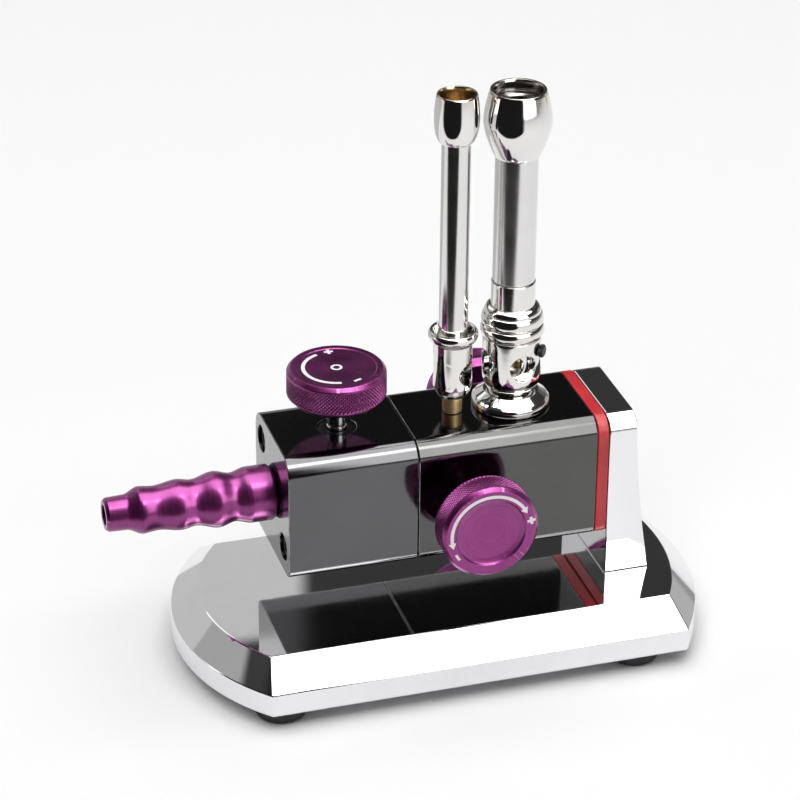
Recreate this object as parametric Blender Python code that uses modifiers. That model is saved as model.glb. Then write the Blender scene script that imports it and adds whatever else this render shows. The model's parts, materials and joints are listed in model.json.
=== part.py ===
"""Twin-tube bench gas torch: pilot burner and main burner on a two-part valve body,
carried by a column on a weighted base.

Frame: +Z up, -Y is the front (pilot valve side), the hose barb points along -X.
The origin is under the middle of the overall size, on the surface the feet stand on.
Metres throughout; the constants below are in millimetres and go through mm().
"""
import math

import bmesh
import bpy
from mathutils import Matrix, Vector

# ---------------------------------------------------------------- driving dimensions (mm)
GAP = 0.2                 # face-to-face gap between separate pieces
RUN = 0.1                 # radial running clearance of turning pieces

X_BODY = -33.5            # left end face of the valve body
Y_BODY = 2.2              # middle plane of the valve body

FOOT_H = 4.0
BASE_RIM_Z = 10.3         # top of the base's upright rim
BASE_TOP_Z = 16.0
BASE_X1, BASE_X2 = -44.3, 64.7      # corners where the straight sides end
BASE_HALF_W = 37.2
BASE_SAG_L, BASE_SAG_R = 15.5, 11.8  # how far the end arcs bulge past the corners
BASE_SLOPE_Y, BASE_SLOPE_X = 8.8, 2.1
BASE_TOP_SAG_L, BASE_TOP_SAG_R = 10.5, 7.2

BODY_W, BODY_H = 32.0, 33.0
BODY_Z = 27.8             # underside of the valve body
BODY_R = 5.0              # fillet along the top edges
BODY_R2 = 2.6             # fillet along the bottom edges
SPLIT_X = 33.5            # from the left end face: joint of the two body halves
SPACER_X = 80.5           # right end face of the burner half
SPACER_T = 3.1
COLUMN_X = 83.8
COLUMN_TOP_W = 7.4        # column thickness at its top
FLARE_A, FLARE_B = 0.047, 0.00183   # linear and square terms of the foot's flare per mm

SHUTOFF_X = 16.8
PILOT_X = 47.0
MAIN_X = 62.5
PILOT_VALVE_Z = 15.5      # pilot valve axis above the body's underside
MAIN_VALVE_Z = 20.2       # main valve axis, higher up on the back
BARB_Z = 17.0
GALLERY_Z = 8.0

KNOB_R, KNOB_H, KNOB_OFF = 12.5, 8.5, 8.2
STEM_R = 2.5
LEAD = 2.0                # valve slide travel per turn

ZT = BODY_Z + BODY_H      # top face of the body

COLLECTION = "bench_gas_torch"


def mm(value):
    return value * 0.001


def vec(x, y, z):
    """Point given in mm from the body's left end, its middle plane, and the standing surface."""
    return Vector((mm(x + X_BODY), mm(y + Y_BODY), mm(z)))


# ---------------------------------------------------------------- scene
for old in list(bpy.data.objects):
    bpy.data.objects.remove(old, do_unlink=True)
for block in (bpy.data.meshes, bpy.data.curves, bpy.data.materials):
    for item in list(block):
        block.remove(item)

scene = bpy.context.scene
scene.unit_settings.system = "METRIC"
scene.unit_settings.scale_length = 1.0
parts = bpy.data.collections.new(COLLECTION)
cutters = bpy.data.collections.new("cutters")
scene.collection.children.link(parts)
scene.collection.children.link(cutters)


def material(name, color, rough, metal):
    mat = bpy.data.materials.new(name)
    mat.use_nodes = True
    shader = mat.node_tree.nodes["Principled BSDF"]
    shader.inputs["Base Color"].default_value = (*color, 1.0)
    shader.inputs["Roughness"].default_value = rough
    shader.inputs["Metallic"].default_value = metal
    mat.diffuse_color = (*color, 1.0)
    return mat


LOOKS = {
    "chrome": ((0.80, 0.80, 0.81), 0.08, 1.0),
    "nickel": ((0.72, 0.70, 0.68), 0.12, 1.0),
    "black_anodised": ((0.03, 0.03, 0.034), 0.18, 0.6),
    "purple_anodised": ((0.30, 0.05, 0.26), 0.30, 0.9),
    "red_spacer": ((0.55, 0.02, 0.04), 0.35, 0.0),
    "brass": ((0.72, 0.50, 0.22), 0.25, 1.0),
    "steel": ((0.42, 0.42, 0.44), 0.30, 1.0),
    "dark_steel": ((0.05, 0.05, 0.055), 0.35, 1.0),
    "black_rubber": ((0.015, 0.015, 0.016), 0.75, 0.0),
}


def own(obj, look):
    """Gives the object its own copy of a look and puts it in the part's collection."""
    mat = material(f"{obj.name}_{look}", *LOOKS[look])
    obj.data.materials.clear()
    obj.data.materials.append(mat)
    return obj


def place(obj, home, matrix):
    obj.matrix_world = matrix
    home.objects.link(obj)
    return obj


def axis_matrix(origin, direction, spin=0.0):
    """Local +Z along `direction`, at `origin`; spin in degrees about that axis."""
    turn = Vector(direction).to_track_quat("Z", "Y").to_matrix().to_4x4()
    return Matrix.Translation(origin) @ turn @ Matrix.Rotation(math.radians(spin), 4, "Z")


UP, LEFT, FRONT, BACK, RIGHT = (0, 0, 1), (-1, 0, 0), (0, -1, 0), (0, 1, 0), (1, 0, 0)


def smooth(mesh, angle=35):
    mesh.shade_smooth()
    mesh.set_sharp_from_angle(angle=math.radians(angle))


def turned(name, profile, look, origin, direction=UP, steps=32, ring=False, spin=0.0):
    """A turned piece. `profile` holds (radius, height) in mm, down the outer side; a ring's
    profile goes on up its bore and closes, any other starts and ends on the axis."""
    bm = bmesh.new()
    verts = [bm.verts.new((mm(r), 0.0, mm(h))) for r, h in profile]
    for a, b in zip(verts, verts[1:]):
        bm.edges.new((a, b))
    if ring:
        bm.edges.new((verts[-1], verts[0]))
    mesh = bpy.data.meshes.new(name)
    bm.to_mesh(mesh)
    bm.free()
    obj = bpy.data.objects.new(name, mesh)
    screw = obj.modifiers.new("turn", "SCREW")
    screw.axis = "Z"
    screw.angle = 2 * math.pi
    screw.screw_offset = 0.0
    screw.steps = steps
    screw.render_steps = steps
    screw.use_smooth_shade = True
    screw.use_merge_vertices = True
    screw.merge_threshold = 0.00001
    place(obj, parts, axis_matrix(origin, direction, spin))
    return own(obj, look)


def drill(name, radius, start, end, steps=20):
    """A round cutter from start to end (vectors in metres)."""
    way = end - start
    bm = bmesh.new()
    bmesh.ops.create_cone(
        bm, cap_ends=True, segments=steps, radius1=mm(radius), radius2=mm(radius), depth=way.length
    )
    mesh = bpy.data.meshes.new(name)
    bm.to_mesh(mesh)
    bm.free()
    obj = bpy.data.objects.new(name, mesh)
    obj.display_type = "WIRE"
    obj.hide_render = True
    return place(obj, cutters, axis_matrix((start + end) / 2, way.normalized()))


def cut(obj, *tools):
    for tool in tools:
        boolean = obj.modifiers.new(f"cut_{tool.name}", "BOOLEAN")
        boolean.operation = "DIFFERENCE"
        boolean.solver = "EXACT"
        boolean.object = tool
    return obj


def arc(cx, cy, r, a0, a1, steps):
    return [
        (
            cx + r * math.cos(math.radians(a0 + (a1 - a0) * i / steps)),
            cy + r * math.sin(math.radians(a0 + (a1 - a0) * i / steps)),
        )
        for i in range(steps + 1)
    ]


def plate(name, outline, thickness, matrix, home, look=None):
    """A flat outline (mm) filled and extruded, made a mesh so that it can be drilled."""
    curve = bpy.data.curves.new(name + "_outline", "CURVE")
    curve.dimensions = "2D"
    curve.fill_mode = "BOTH"
    curve.extrude = mm(thickness) / 2
    spline = curve.splines.new("POLY")
    spline.points.add(len(outline) - 1)
    for point, (u, v) in zip(spline.points, outline):
        point.co = (mm(u), mm(v), 0.0, 1.0)
    spline.use_cyclic_u = True
    drawn = bpy.data.objects.new(name + "_drawn", curve)
    scene.collection.objects.link(drawn)
    bpy.context.view_layer.update()
    graph = bpy.context.evaluated_depsgraph_get()
    mesh = bpy.data.meshes.new_from_object(drawn.evaluated_get(graph))
    bpy.data.objects.remove(drawn, do_unlink=True)
    bm = bmesh.new()
    bm.from_mesh(mesh)
    bmesh.ops.remove_doubles(bm, verts=bm.verts, dist=1e-6)
    bmesh.ops.recalc_face_normals(bm, faces=bm.faces)
    bm.to_mesh(mesh)
    bm.free()
    mesh.name = name
    smooth(mesh)
    obj = bpy.data.objects.new(name, mesh)
    place(obj, home, matrix)
    if look:
        own(obj, look)
    else:
        obj.display_type = "WIRE"
        obj.hide_render = True
    return obj


# Local u, v of a body-section outline are world Y and Z; its thickness runs along X.
SECTION = Matrix(((0, 0, 1, 0), (1, 0, 0, 0), (0, 1, 0, 0), (0, 0, 0, 1)))


def section_outline(bottom, r_bottom):
    """The valve body's end outline: flat sides, filleted top edges, measured from the body."""
    h, top = BODY_W / 2, BODY_H
    points = []
    if r_bottom:
        points += arc(-h + r_bottom, bottom + r_bottom, r_bottom, 180, 270, 4)
        points += arc(h - r_bottom, bottom + r_bottom, r_bottom, 270, 360, 4)
    else:
        points += [(-h, bottom), (h, bottom)]
    points += arc(h - BODY_R, top - BODY_R, BODY_R, 0, 90, 6)
    points += arc(-h + BODY_R, top - BODY_R, BODY_R, 90, 180, 6)
    return points


def section(name, x0, x1, look, bottom=0.0, r_bottom=BODY_R2):
    outline = section_outline(bottom, r_bottom)
    middle = Matrix.Translation(vec((x0 + x1) / 2, 0, BODY_Z))
    return plate(name, outline, x1 - x0, middle @ SECTION, parts, look)


# ---------------------------------------------------------------- base
def base_outline(inset_y, inset_x, sag_left, sag_right, steps=11):
    """Straight front and back, circular ends; anticlockwise seen from above."""
    half = BASE_HALF_W - inset_y
    x1, x2 = BASE_X1 + inset_x, BASE_X2 - inset_x
    points = []
    for x, sag, way in ((x2, sag_right, 1), (x1, sag_left, -1)):
        radius = (half * half + sag * sag) / (2 * sag)
        swing = math.degrees(math.asin(half / radius))
        middle = 0.0 if way > 0 else 180.0
        points += arc(x - way * (radius - sag), 0.0, radius, middle - swing, middle + swing, steps)
    return points


def base_plate():
    levels = [
        (FOOT_H, base_outline(0.5, 0.5, BASE_SAG_L, BASE_SAG_R)),
        (FOOT_H + 0.5, base_outline(0, 0, BASE_SAG_L, BASE_SAG_R)),
        (BASE_RIM_Z, base_outline(0, 0, BASE_SAG_L, BASE_SAG_R)),
        (BASE_TOP_Z, base_outline(BASE_SLOPE_Y, BASE_SLOPE_X, BASE_TOP_SAG_L, BASE_TOP_SAG_R)),
    ]
    bm = bmesh.new()
    rings = [[bm.verts.new((mm(x), mm(y), mm(z))) for x, y in ring] for z, ring in levels]
    for low, high in zip(rings, rings[1:]):
        for i in range(len(low)):
            j = (i + 1) % len(low)
            bm.faces.new((low[i], low[j], high[j], high[i]))
    bm.faces.new(list(reversed(rings[0])))
    bm.faces.new(rings[-1])
    mesh = bpy.data.meshes.new("base_plate")
    bm.to_mesh(mesh)
    bm.free()
    smooth(mesh, 25)
    obj = bpy.data.objects.new("base_plate", mesh)
    place(obj, parts, Matrix.Identity(4))
    return own(obj, "chrome")


base = base_plate()

FOOT_SPOTS = {
    "front_left": (-40.0, -28.8),
    "front_right": (53.0, -28.8),
    "back_left": (-40.0, 28.8),
    "back_right": (53.0, 28.8),
}
for spot, (fx, fy) in FOOT_SPOTS.items():
    at = Vector((mm(fx), mm(fy), 0.0))
    turned(
        f"foot_{spot}",
        [(7.3, FOOT_H - GAP), (7.3, 2.8), (6.5, 0.8), (5.4, 0.0), (3.6, 0.0), (3.6, 2.2), (1.9, 2.2), (1.9, FOOT_H - GAP)],
        "black_rubber", at, steps=16, ring=True,
    )
    turned(
        f"foot_screw_{spot}",
        [(0.0, 11.0), (1.5, 11.0), (1.5, 2.0), (3.1, 2.0), (3.1, 1.2), (2.6, 0.7), (0.0, 0.7)],
        "steel", at, steps=10,
    )
    cut(base, drill(f"hole_foot_{spot}", 1.7, at + Vector((0, 0, mm(FOOT_H - 1))), at + Vector((0, 0, mm(11.5))), 10))

# ---------------------------------------------------------------- column
COLUMN_FOOT = BASE_TOP_Z + GAP
column = section("column", COLUMN_X, COLUMN_X + 14, "chrome", bottom=COLUMN_FOOT - BODY_Z, r_bottom=0)


def flare_x(z):
    """Right face of the column at height z: upright at the top, sweeping out to its foot."""
    down = max(0.0, ZT - 6.0 - z)
    return COLUMN_X + COLUMN_TOP_W + FLARE_A * down + FLARE_B * down * down


levels = [ZT + 2] + [ZT - 6.0 - (ZT - 6.0 - COLUMN_FOOT) * i / 10 for i in range(11)] + [COLUMN_FOOT - 2]
flare = [(flare_x(z), z) for z in levels] + [(COLUMN_X + 20, COLUMN_FOOT - 2), (COLUMN_X + 20, ZT + 2)]
FLAT_XZ = Matrix(((1, 0, 0, 0), (0, 0, -1, 0), (0, 1, 0, 0), (0, 0, 0, 1)))
flare_cutter = plate("cutter_column_flare", flare, BODY_W + 8, Matrix.Translation(vec(0, 0, 0)) @ FLAT_XZ, cutters)
cut(column, flare_cutter)

COLUMN_SCREW_X = 89.6
for side, sy in (("front", -9.0), ("back", 9.0)):
    turned(
        f"column_screw_{side}",
        [(0.0, 30.0), (2.4, 30.0), (2.4, 9.2), (4.2, 9.2), (4.2, 4.8), (2.0, 4.8), (2.0, 7.0), (0.0, 7.0)],
        "steel", vec(COLUMN_SCREW_X, sy, 0), steps=12,
    )
    cut(
        base,
        drill(f"hole_base_{side}", 2.7, vec(COLUMN_SCREW_X, sy, 8), vec(COLUMN_SCREW_X, sy, BASE_TOP_Z + 1), 12),
        drill(f"counterbore_base_{side}", 4.5, vec(COLUMN_SCREW_X, sy, FOOT_H - 1), vec(COLUMN_SCREW_X, sy, 9.5), 20),
    )
    cut(column, drill(f"hole_column_foot_{side}", 2.6, vec(COLUMN_SCREW_X, sy, COLUMN_FOOT - 1), vec(COLUMN_SCREW_X, sy, 30.6), 12))

# ---------------------------------------------------------------- valve body halves and spacer
valve_block = section("valve_block", 0.0, SPLIT_X - GAP / 2, "black_anodised")
burner_block = section("burner_block", SPLIT_X + GAP / 2, SPACER_X, "black_anodised")
spacer = section("red_spacer", SPACER_X + GAP, SPACER_X + SPACER_T, "red_spacer")

BZ = BODY_Z
INLET = (0.0, BZ + BARB_Z)
# tie bolts through the valve half, heads sunk in its end face, on one diagonal
for tag, ty, tz in (("upper", 10.2, 26.6), ("lower", -10.2, 6.6)):
    z = BZ + tz
    turned(
        f"tie_bolt_{tag}",
        [(0.0, -2.9), (1.6, -2.9), (1.6, -0.9), (3.3, -0.9), (3.3, -4.6), (1.95, -4.6), (1.95, -42.6), (0.0, -42.6)],
        "dark_steel", vec(0, ty, z), LEFT, steps=12,
    )
    cut(
        valve_block,
        drill(f"hole_tie_{tag}", 2.15, vec(3, ty, z), vec(SPLIT_X + 2, ty, z), 12),
        drill(f"counterbore_tie_{tag}", 3.55, vec(-2, ty, z), vec(4.9, ty, z), 16),
    )
    cut(burner_block, drill(f"thread_tie_{tag}", 2.15, vec(SPLIT_X - 2, ty, z), vec(43.2, ty, z), 12))

# bolts through the column and the spacer into the burner half
for tag, ty, tz in (("upper", -10.2, 26.6), ("lower", 10.2, 6.6)):
    z = BZ + tz
    head = flare_x(z) - 0.8
    seat = head - 3.7
    tip = 69.0
    turned(
        f"column_bolt_{tag}",
        [(0.0, head - 2.0 - tip), (1.6, head - 2.0 - tip), (1.6, head - tip), (3.3, head - tip), (3.3, seat - tip), (1.95, seat - tip), (1.95, 0.0), (0.0, 0.0)],
        "dark_steel", vec(tip, ty, z), RIGHT, steps=12,
    )
    cut(
        column,
        drill(f"hole_column_{tag}", 2.15, vec(COLUMN_X - 2, ty, z), vec(COLUMN_X + 14, ty, z), 12),
        drill(f"counterbore_column_{tag}", 3.55, vec(seat - 0.3, ty, z), vec(COLUMN_X + 18, ty, z), 16),
    )
    cut(spacer, drill(f"hole_spacer_{tag}", 2.25, vec(SPACER_X - 2, ty, z), vec(COLUMN_X + 2, ty, z), 12))
    cut(burner_block, drill(f"thread_column_{tag}", 2.15, vec(tip - 0.6, ty, z), vec(SPACER_X + 2, ty, z), 12))

# gas ways
cut(
    valve_block,
    drill("inlet_thread", 4.5, vec(-2, 0, BZ + BARB_Z), vec(9, 0, BZ + BARB_Z), 18),
    drill("inlet_way", 2.6, vec(8, 0, BZ + BARB_Z), vec(SHUTOFF_X, 0, BZ + BARB_Z), 16),
    drill("outlet_way", 2.5, vec(SHUTOFF_X, 0, BZ + GALLERY_Z), vec(SPLIT_X + 2, 0, BZ + GALLERY_Z), 16),
    drill("shutoff_seat", 2.0, vec(SHUTOFF_X, 0, BZ + GALLERY_Z), vec(SHUTOFF_X, 0, BZ + 14), 16),
)
cut(
    burner_block,
    drill("gallery", 2.5, vec(SPLIT_X - 2, 0, BZ + GALLERY_Z), vec(MAIN_X + 2, 0, BZ + GALLERY_Z), 16),
    drill("seal_groove", 4.7, vec(SPLIT_X - 2, 0, BZ + GALLERY_Z), vec(SPLIT_X + GAP / 2 + 1.5, 0, BZ + GALLERY_Z), 24),
)


def torus(name, major, minor, look, origin, direction=UP, steps=16, around=5):
    """A round-section seal ring: a small circle turned about the axis."""
    circle = [
        (major + minor * math.cos(2 * math.pi * i / around), -minor * math.sin(2 * math.pi * i / around))
        for i in range(around)
    ]
    return turned(name, circle, look, origin, direction, steps, ring=True)


torus("body_face_seal", 3.6, 0.65, "black_rubber", vec(SPLIT_X + GAP / 2 + 0.75, 0, BZ + GALLERY_Z), LEFT)


# ---------------------------------------------------------------- valves
def knob(name, origin, direction, screw_spin):
    """Knob with a dished face; heights run from its inner face outwards."""
    top, r = KNOB_H, KNOB_R
    profile = [
        (0.0, top - 0.9), (7.2, top - 0.8), (8.2, top - 0.25), (8.8, top), (r - 1.1, top),
        (r, top - 1.0), (r, 1.6), (r - 1.6, 0.0), (STEM_R + RUN, 0.0), (STEM_R + RUN, 5.2), (0.0, 5.2),
    ]
    obj = turned(name, profile, "purple_anodised", origin, direction, steps=28)
    frame = axis_matrix(origin, direction, screw_spin)
    a = frame @ Vector((mm(1.0), 0, mm(3.0)))
    b = frame @ Vector((mm(r + 2), 0, mm(3.0)))
    cut(obj, drill("hole_" + name + "_screw", 1.45, a, b, 14))
    turned(
        name.replace("_knob", "_grub_screw"),
        [(0.0, 7.4 - 1.2), (0.65, 7.4 - 1.2), (0.65, 7.4), (1.3, 7.4), (1.3, 0.5), (0.8, 0.0), (0.0, 0.0)],
        "dark_steel", frame @ Vector((mm(STEM_R + 0.25), 0, mm(3.0))),
        (frame.to_3x3() @ Vector((1, 0, 0))), steps=8,
    )
    return obj


def valve(tag, origin, direction, block, deep, screw_spin):
    """One valve. origin is on the body's surface, direction points out of it; depths run inwards.
    deep is the long pattern; the side valves use the short one."""
    gland_end, collar_end, pin_end = (7.6, 9.4, 14.0) if deep else (5.2, 6.6, 9.4)
    plug_top, plug_end, nose_end, seat = (11.0, 18.0, 20.6, 20.0) if deep else (8.0, 11.6, 13.6, 12.4)
    bore_end = 16.0 if deep else 10.8
    way = Vector(direction)

    def at(depth):
        return origin - way * mm(depth)

    cut(
        block,
        drill(f"{tag}_gland_bore", 4.9, at(-2), at(gland_end + 0.3), 14),
        drill(f"{tag}_chamber", 4.3, at(gland_end), at(seat), 14),
    )
    if not deep:
        cut(block, drill(f"{tag}_seat", 1.6, at(seat - 0.6), at(16.0), 14))
    r0 = STEM_R + RUN
    g = gland_end
    turned(
        f"{tag}_gland",
        [(4.7, -0.3), (4.7, -g), (r0, -g), (r0, -g + 1.3), (3.5, -g + 1.3), (3.5, -g + 2.7), (r0, -g + 2.7), (r0, -0.3)],
        "steel", origin, direction, steps=16, ring=True,
    )
    torus(f"{tag}_stem_seal", 3.06, 0.38, "black_rubber", at(g - 2.0), direction)
    turned(
        f"{tag}_stem",
        [
            (0.0, KNOB_OFF + 5.0), (STEM_R - 0.3, KNOB_OFF + 5.0), (STEM_R, KNOB_OFF + 4.7), (STEM_R, -gland_end - GAP),
            (3.6, -gland_end - GAP), (3.6, -collar_end), (1.4, -collar_end), (1.4, -pin_end), (0.0, -pin_end),
        ],
        "nickel", origin, direction, steps=16,
    )
    n = -nose_end
    turned(
        f"{tag}_plug",
        [
            (0.0, -bore_end), (1.6, -bore_end), (1.6, -plug_top), (3.5, -plug_top), (3.5, -plug_end),
            (2.3 if deep else 1.9, -plug_end - 0.2), (0.6, n), (0.0, n),
        ],
        "brass", origin, direction, steps=14,
    )
    return knob(f"{tag}_knob", origin + way * mm(KNOB_OFF), direction, screw_spin)


valve("shutoff", vec(SHUTOFF_X, 0, ZT), UP, valve_block, True, 70)
valve("pilot", vec(PILOT_X, -BODY_W / 2, BZ + PILOT_VALVE_Z), FRONT, burner_block, False, 250)
valve("main", vec(MAIN_X, BODY_W / 2, BZ + MAIN_VALVE_Z), BACK, burner_block, False, 250)

for tag, x, side, height in (("pilot", PILOT_X, -1, PILOT_VALVE_Z), ("main", MAIN_X, 1, MAIN_VALVE_Z)):
    cut(burner_block, drill(f"{tag}_feed", 1.2, vec(x, side * 7.0, BZ + height - 1.5), vec(x, side * 0.5, BZ + GALLERY_Z), 12))
    riser = 1.1 if tag == "pilot" else 1.5
    thread = 2.2 if tag == "pilot" else 2.9
    cut(
        burner_block,
        drill(f"{tag}_riser", riser, vec(x, 0, BZ + height), vec(x, 0, ZT - 5), 14),
        drill(f"{tag}_jet_thread", thread, vec(x, 0, ZT - 6), vec(x, 0, ZT + 2), 20),
    )

# ---------------------------------------------------------------- hose barb
BARB_STATIONS = (  # distance from the body's end face, radius
    (0.2, 6.5), (1.0, 7.1), (6.2, 7.1), (10.3, 6.15), (14.6, 7.1), (20.4, 5.85), (24.0, 6.4),
    (30.0, 5.6), (33.8, 5.95), (37.8, 4.45), (42.2, 4.3), (43.0, 3.7),
)


def barb_profile(per_span=2):
    """Smooth swells between the stations, running from the body out to the tip."""
    points = []
    for (d0, r0), (d1, r1) in zip(BARB_STATIONS, BARB_STATIONS[1:]):
        steps = per_span if d1 - d0 > 2 and abs(r1 - r0) > 0.2 else 1
        for i in range(steps):
            t = i / steps
            ease = t * t * (3 - 2 * t)
            points.append((r0 + (r1 - r0) * ease, d0 + (d1 - d0) * t))
    return points + [(BARB_STATIONS[-1][1], BARB_STATIONS[-1][0])]


outer = list(reversed(barb_profile()))
turned(
    "hose_barb",
    outer + [(4.2, 0.2), (4.2, -7.8), (2.6, -7.8), (2.6, 43.0)],
    "purple_anodised", vec(0, 0, BZ + BARB_Z), LEFT, steps=20, ring=True,
)

# ---------------------------------------------------------------- pilot burner
pilot_at = vec(PILOT_X, 0, ZT)
turned(
    "pilot_jet",
    [(1.2, 6.6), (1.7, 6.2), (1.7, 4.0), (2.5, 4.0), (2.5, 0.2), (2.0, 0.2), (2.0, -5.0), (0.5, -5.0), (0.5, 6.6)],
    "brass", pilot_at, steps=12, ring=True,
)
pilot_body = turned(
    "pilot_air_body",
    [
        (5.5, 22.9), (6.1, 22.6), (6.3, 21.8), (6.2, 20.9), (5.4, 20.0), (4.9, 19.4), (4.9, 7.6), (4.5, 6.2), (3.6, 4.8),
        (2.9, 4.2), (1.9, 4.2), (1.9, 6.6), (3.1, 7.4), (3.1, 16.8), (3.8, 16.8), (3.8, 20.6), (5.2, 21.2),
    ],
    "nickel", pilot_at, steps=24, ring=True,
)
PILOT_HOLES = 2
PILOT_HOLE_H, PILOT_HOLE_AZ = 11.6, 42.0
for i in range(PILOT_HOLES):
    a = math.radians(PILOT_HOLE_AZ + 360 / PILOT_HOLES * i - 90)
    way = Vector((math.cos(a), math.sin(a), 0))
    mid = pilot_at + Vector((0, 0, mm(PILOT_HOLE_H)))
    cut(pilot_body, drill(f"pilot_window_{i + 1}", 3.1, mid + way * mm(1.0), mid + way * mm(8.0), 16))

turned(
    "pilot_tube",
    [(3.65, 76.0), (3.65, 17.0), (3.0, 17.0), (3.0, 76.0)],
    "nickel", pilot_at, steps=24, ring=True,
)
turned(
    "pilot_tip",
    [
        (4.4, 86.1), (4.8, 86.1), (5.1, 85.6), (5.5, 82.6), (5.6, 80.0), (5.5, 77.6), (5.2, 75.7), (4.7, 74.3), (4.1, 73.5),
        (3.8, 73.5), (3.8, 76.2), (3.1, 76.2), (3.1, 76.6), (4.3, 77.6),
    ],
    "nickel", pilot_at, steps=24, ring=True,
)

# ---------------------------------------------------------------- main burner
main_at = vec(MAIN_X, 0, ZT)
turned(
    "main_jet",
    [(1.4, 8.4), (2.2, 7.8), (2.2, 3.4), (3.6, 3.4), (3.6, 0.2), (2.7, 0.2), (2.7, -5.0), (0.7, -5.0), (0.7, 8.4)],
    "brass", main_at, steps=12, ring=True,
)
turned(
    "main_flange",
    [(7.0, 4.2), (7.5, 3.9), (8.5, 3.1), (9.3, 2.6), (9.8, 2.1), (10.0, 1.5), (10.0, 0.8), (9.8, 0.2), (4.0, 0.2), (4.0, 4.2)],
    "chrome", main_at, steps=28, ring=True,
)
mixer = turned(
    "main_mixer_body",
    [
        (5.5, 34.6), (5.6, 34.4), (5.6, 4.6), (5.3, 4.4), (2.5, 4.4), (2.5, 6.6), (4.4, 7.6), (4.4, 29.6), (4.9, 29.6), (4.9, 34.6),
    ],
    "nickel", main_at, steps=24, ring=True,
)
sleeve = turned(
    "main_air_sleeve",
    [
        (6.1, 28.0), (6.8, 27.5), (7.4, 26.4), (7.8, 25.1), (7.9, 24.2), (7.7, 23.3), (7.2, 22.9), (7.8, 22.4),
        (8.1, 21.6), (8.0, 20.6), (7.6, 19.9), (7.1, 19.7), (7.45, 19.4), (7.45, 8.6), (7.2, 6.9), (6.4, 5.4), (6.0, 4.9),
        (5.6 + RUN, 4.9), (5.6 + RUN, 28.0),
    ],
    "nickel", main_at, steps=24, ring=True,
)
MAIN_HOLES, MAIN_HOLE_H, SLEEVE_HOLE_AZ, MIXER_HOLE_AZ = 4, 12.8, 7.0, -13.0
for i in range(MAIN_HOLES):
    mid = main_at + Vector((0, 0, mm(MAIN_HOLE_H)))
    a = math.radians(SLEEVE_HOLE_AZ + 360 / MAIN_HOLES * i - 90)
    way = Vector((math.cos(a), math.sin(a), 0))
    cut(sleeve, drill(f"main_window_{i + 1}", 3.5, mid + way * mm(4.0), mid + way * mm(10.0), 16))
    a = math.radians(MIXER_HOLE_AZ + 360 / MAIN_HOLES * i - 90)
    way = Vector((math.cos(a), math.sin(a), 0))
    cut(mixer, drill(f"mixer_window_{i + 1}", 2.7, mid + way * mm(3.0), mid + way * mm(8.0), 12))

CLAMP_AZ, CLAMP_H = 48.0, 16.4
ca = math.radians(CLAMP_AZ - 90)
clamp_way = Vector((math.cos(ca), math.sin(ca), 0))
clamp_mid = main_at + Vector((0, 0, mm(CLAMP_H)))
cut(sleeve, drill("hole_clamp", 1.0, clamp_mid + clamp_way * mm(5.0), clamp_mid + clamp_way * mm(10.0), 14))
turned(
    "main_clamp_screw",
    [(0.0, 3.1), (1.3, 3.1), (1.7, 2.8), (1.7, 2.1), (1.4, 1.8), (0.9, 1.8), (0.9, 0.0), (0.0, 0.0)],
    "dark_steel", clamp_mid + clamp_way * mm(5.75), clamp_way, steps=12,
)
turned(
    "main_tube",
    [(5.35, 71.1), (5.35, 34.8), (4.8, 34.8), (4.8, 29.8), (4.2, 29.8), (4.2, 71.1)],
    "nickel", main_at, steps=24, ring=True,
)
turned(
    "main_tip",
    [
        (6.1, 85.5), (6.7, 85.5), (7.1, 85.1), (7.7, 82.6), (8.25, 80.0), (8.5, 77.8), (8.3, 75.7), (7.7, 73.4), (6.8, 70.9), (6.1, 69.1),
        (5.75, 68.3), (5.45, 68.3), (5.45, 71.3), (4.3, 71.3), (4.3, 72.3), (5.2, 73.7), (5.2, 79.7), (5.9, 79.7), (5.9, 84.8),
    ],
    "nickel", main_at, steps=24, ring=True,
)
turned(
    "main_flame_ring",
    [(5.7, 82.5), (5.7, 79.9), (3.9, 79.9), (3.9, 82.1), (4.3, 82.5)],
    "nickel", main_at, steps=20, ring=True,
)

# ---------------------------------------------------------------- pivots of the moving pieces
bpy.context.view_layer.update()


def pivot(name, matrix, *children):
    empty = bpy.data.objects.new(name, None)
    empty.empty_display_size = 0.01
    empty.matrix_world = matrix
    parts.objects.link(empty)
    bpy.context.view_layer.update()
    for child in children:
        obj = bpy.data.objects[child]
        kept = obj.matrix_world.copy()
        obj.parent = empty
        obj.matrix_parent_inverse = empty.matrix_world.inverted()
        obj.matrix_world = kept


for tag, spot, way in (
    ("shutoff", vec(SHUTOFF_X, 0, ZT), UP),
    ("pilot", vec(PILOT_X, -BODY_W / 2, BZ + PILOT_VALVE_Z), FRONT),
    ("main", vec(MAIN_X, BODY_W / 2, BZ + MAIN_VALVE_Z), BACK),
):
    pivot(f"{tag}_valve_axis", axis_matrix(spot, way), f"{tag}_knob", f"{tag}_stem", f"{tag}_grub_screw")
    pivot(f"{tag}_plug_axis", axis_matrix(spot, way), f"{tag}_plug")
pivot("main_air_axis", axis_matrix(main_at, UP), "main_air_sleeve", "main_clamp_screw")
bpy.context.view_layer.update()
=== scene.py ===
"""Looks of the twin-tube bench gas torch: fine meshes, materials, floor, light and camera
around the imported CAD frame. Lengths given to the shape helpers are millimetres."""
import json
import math

import bmesh
import bpy
import numpy as np
from mathutils import Matrix, Vector

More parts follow.
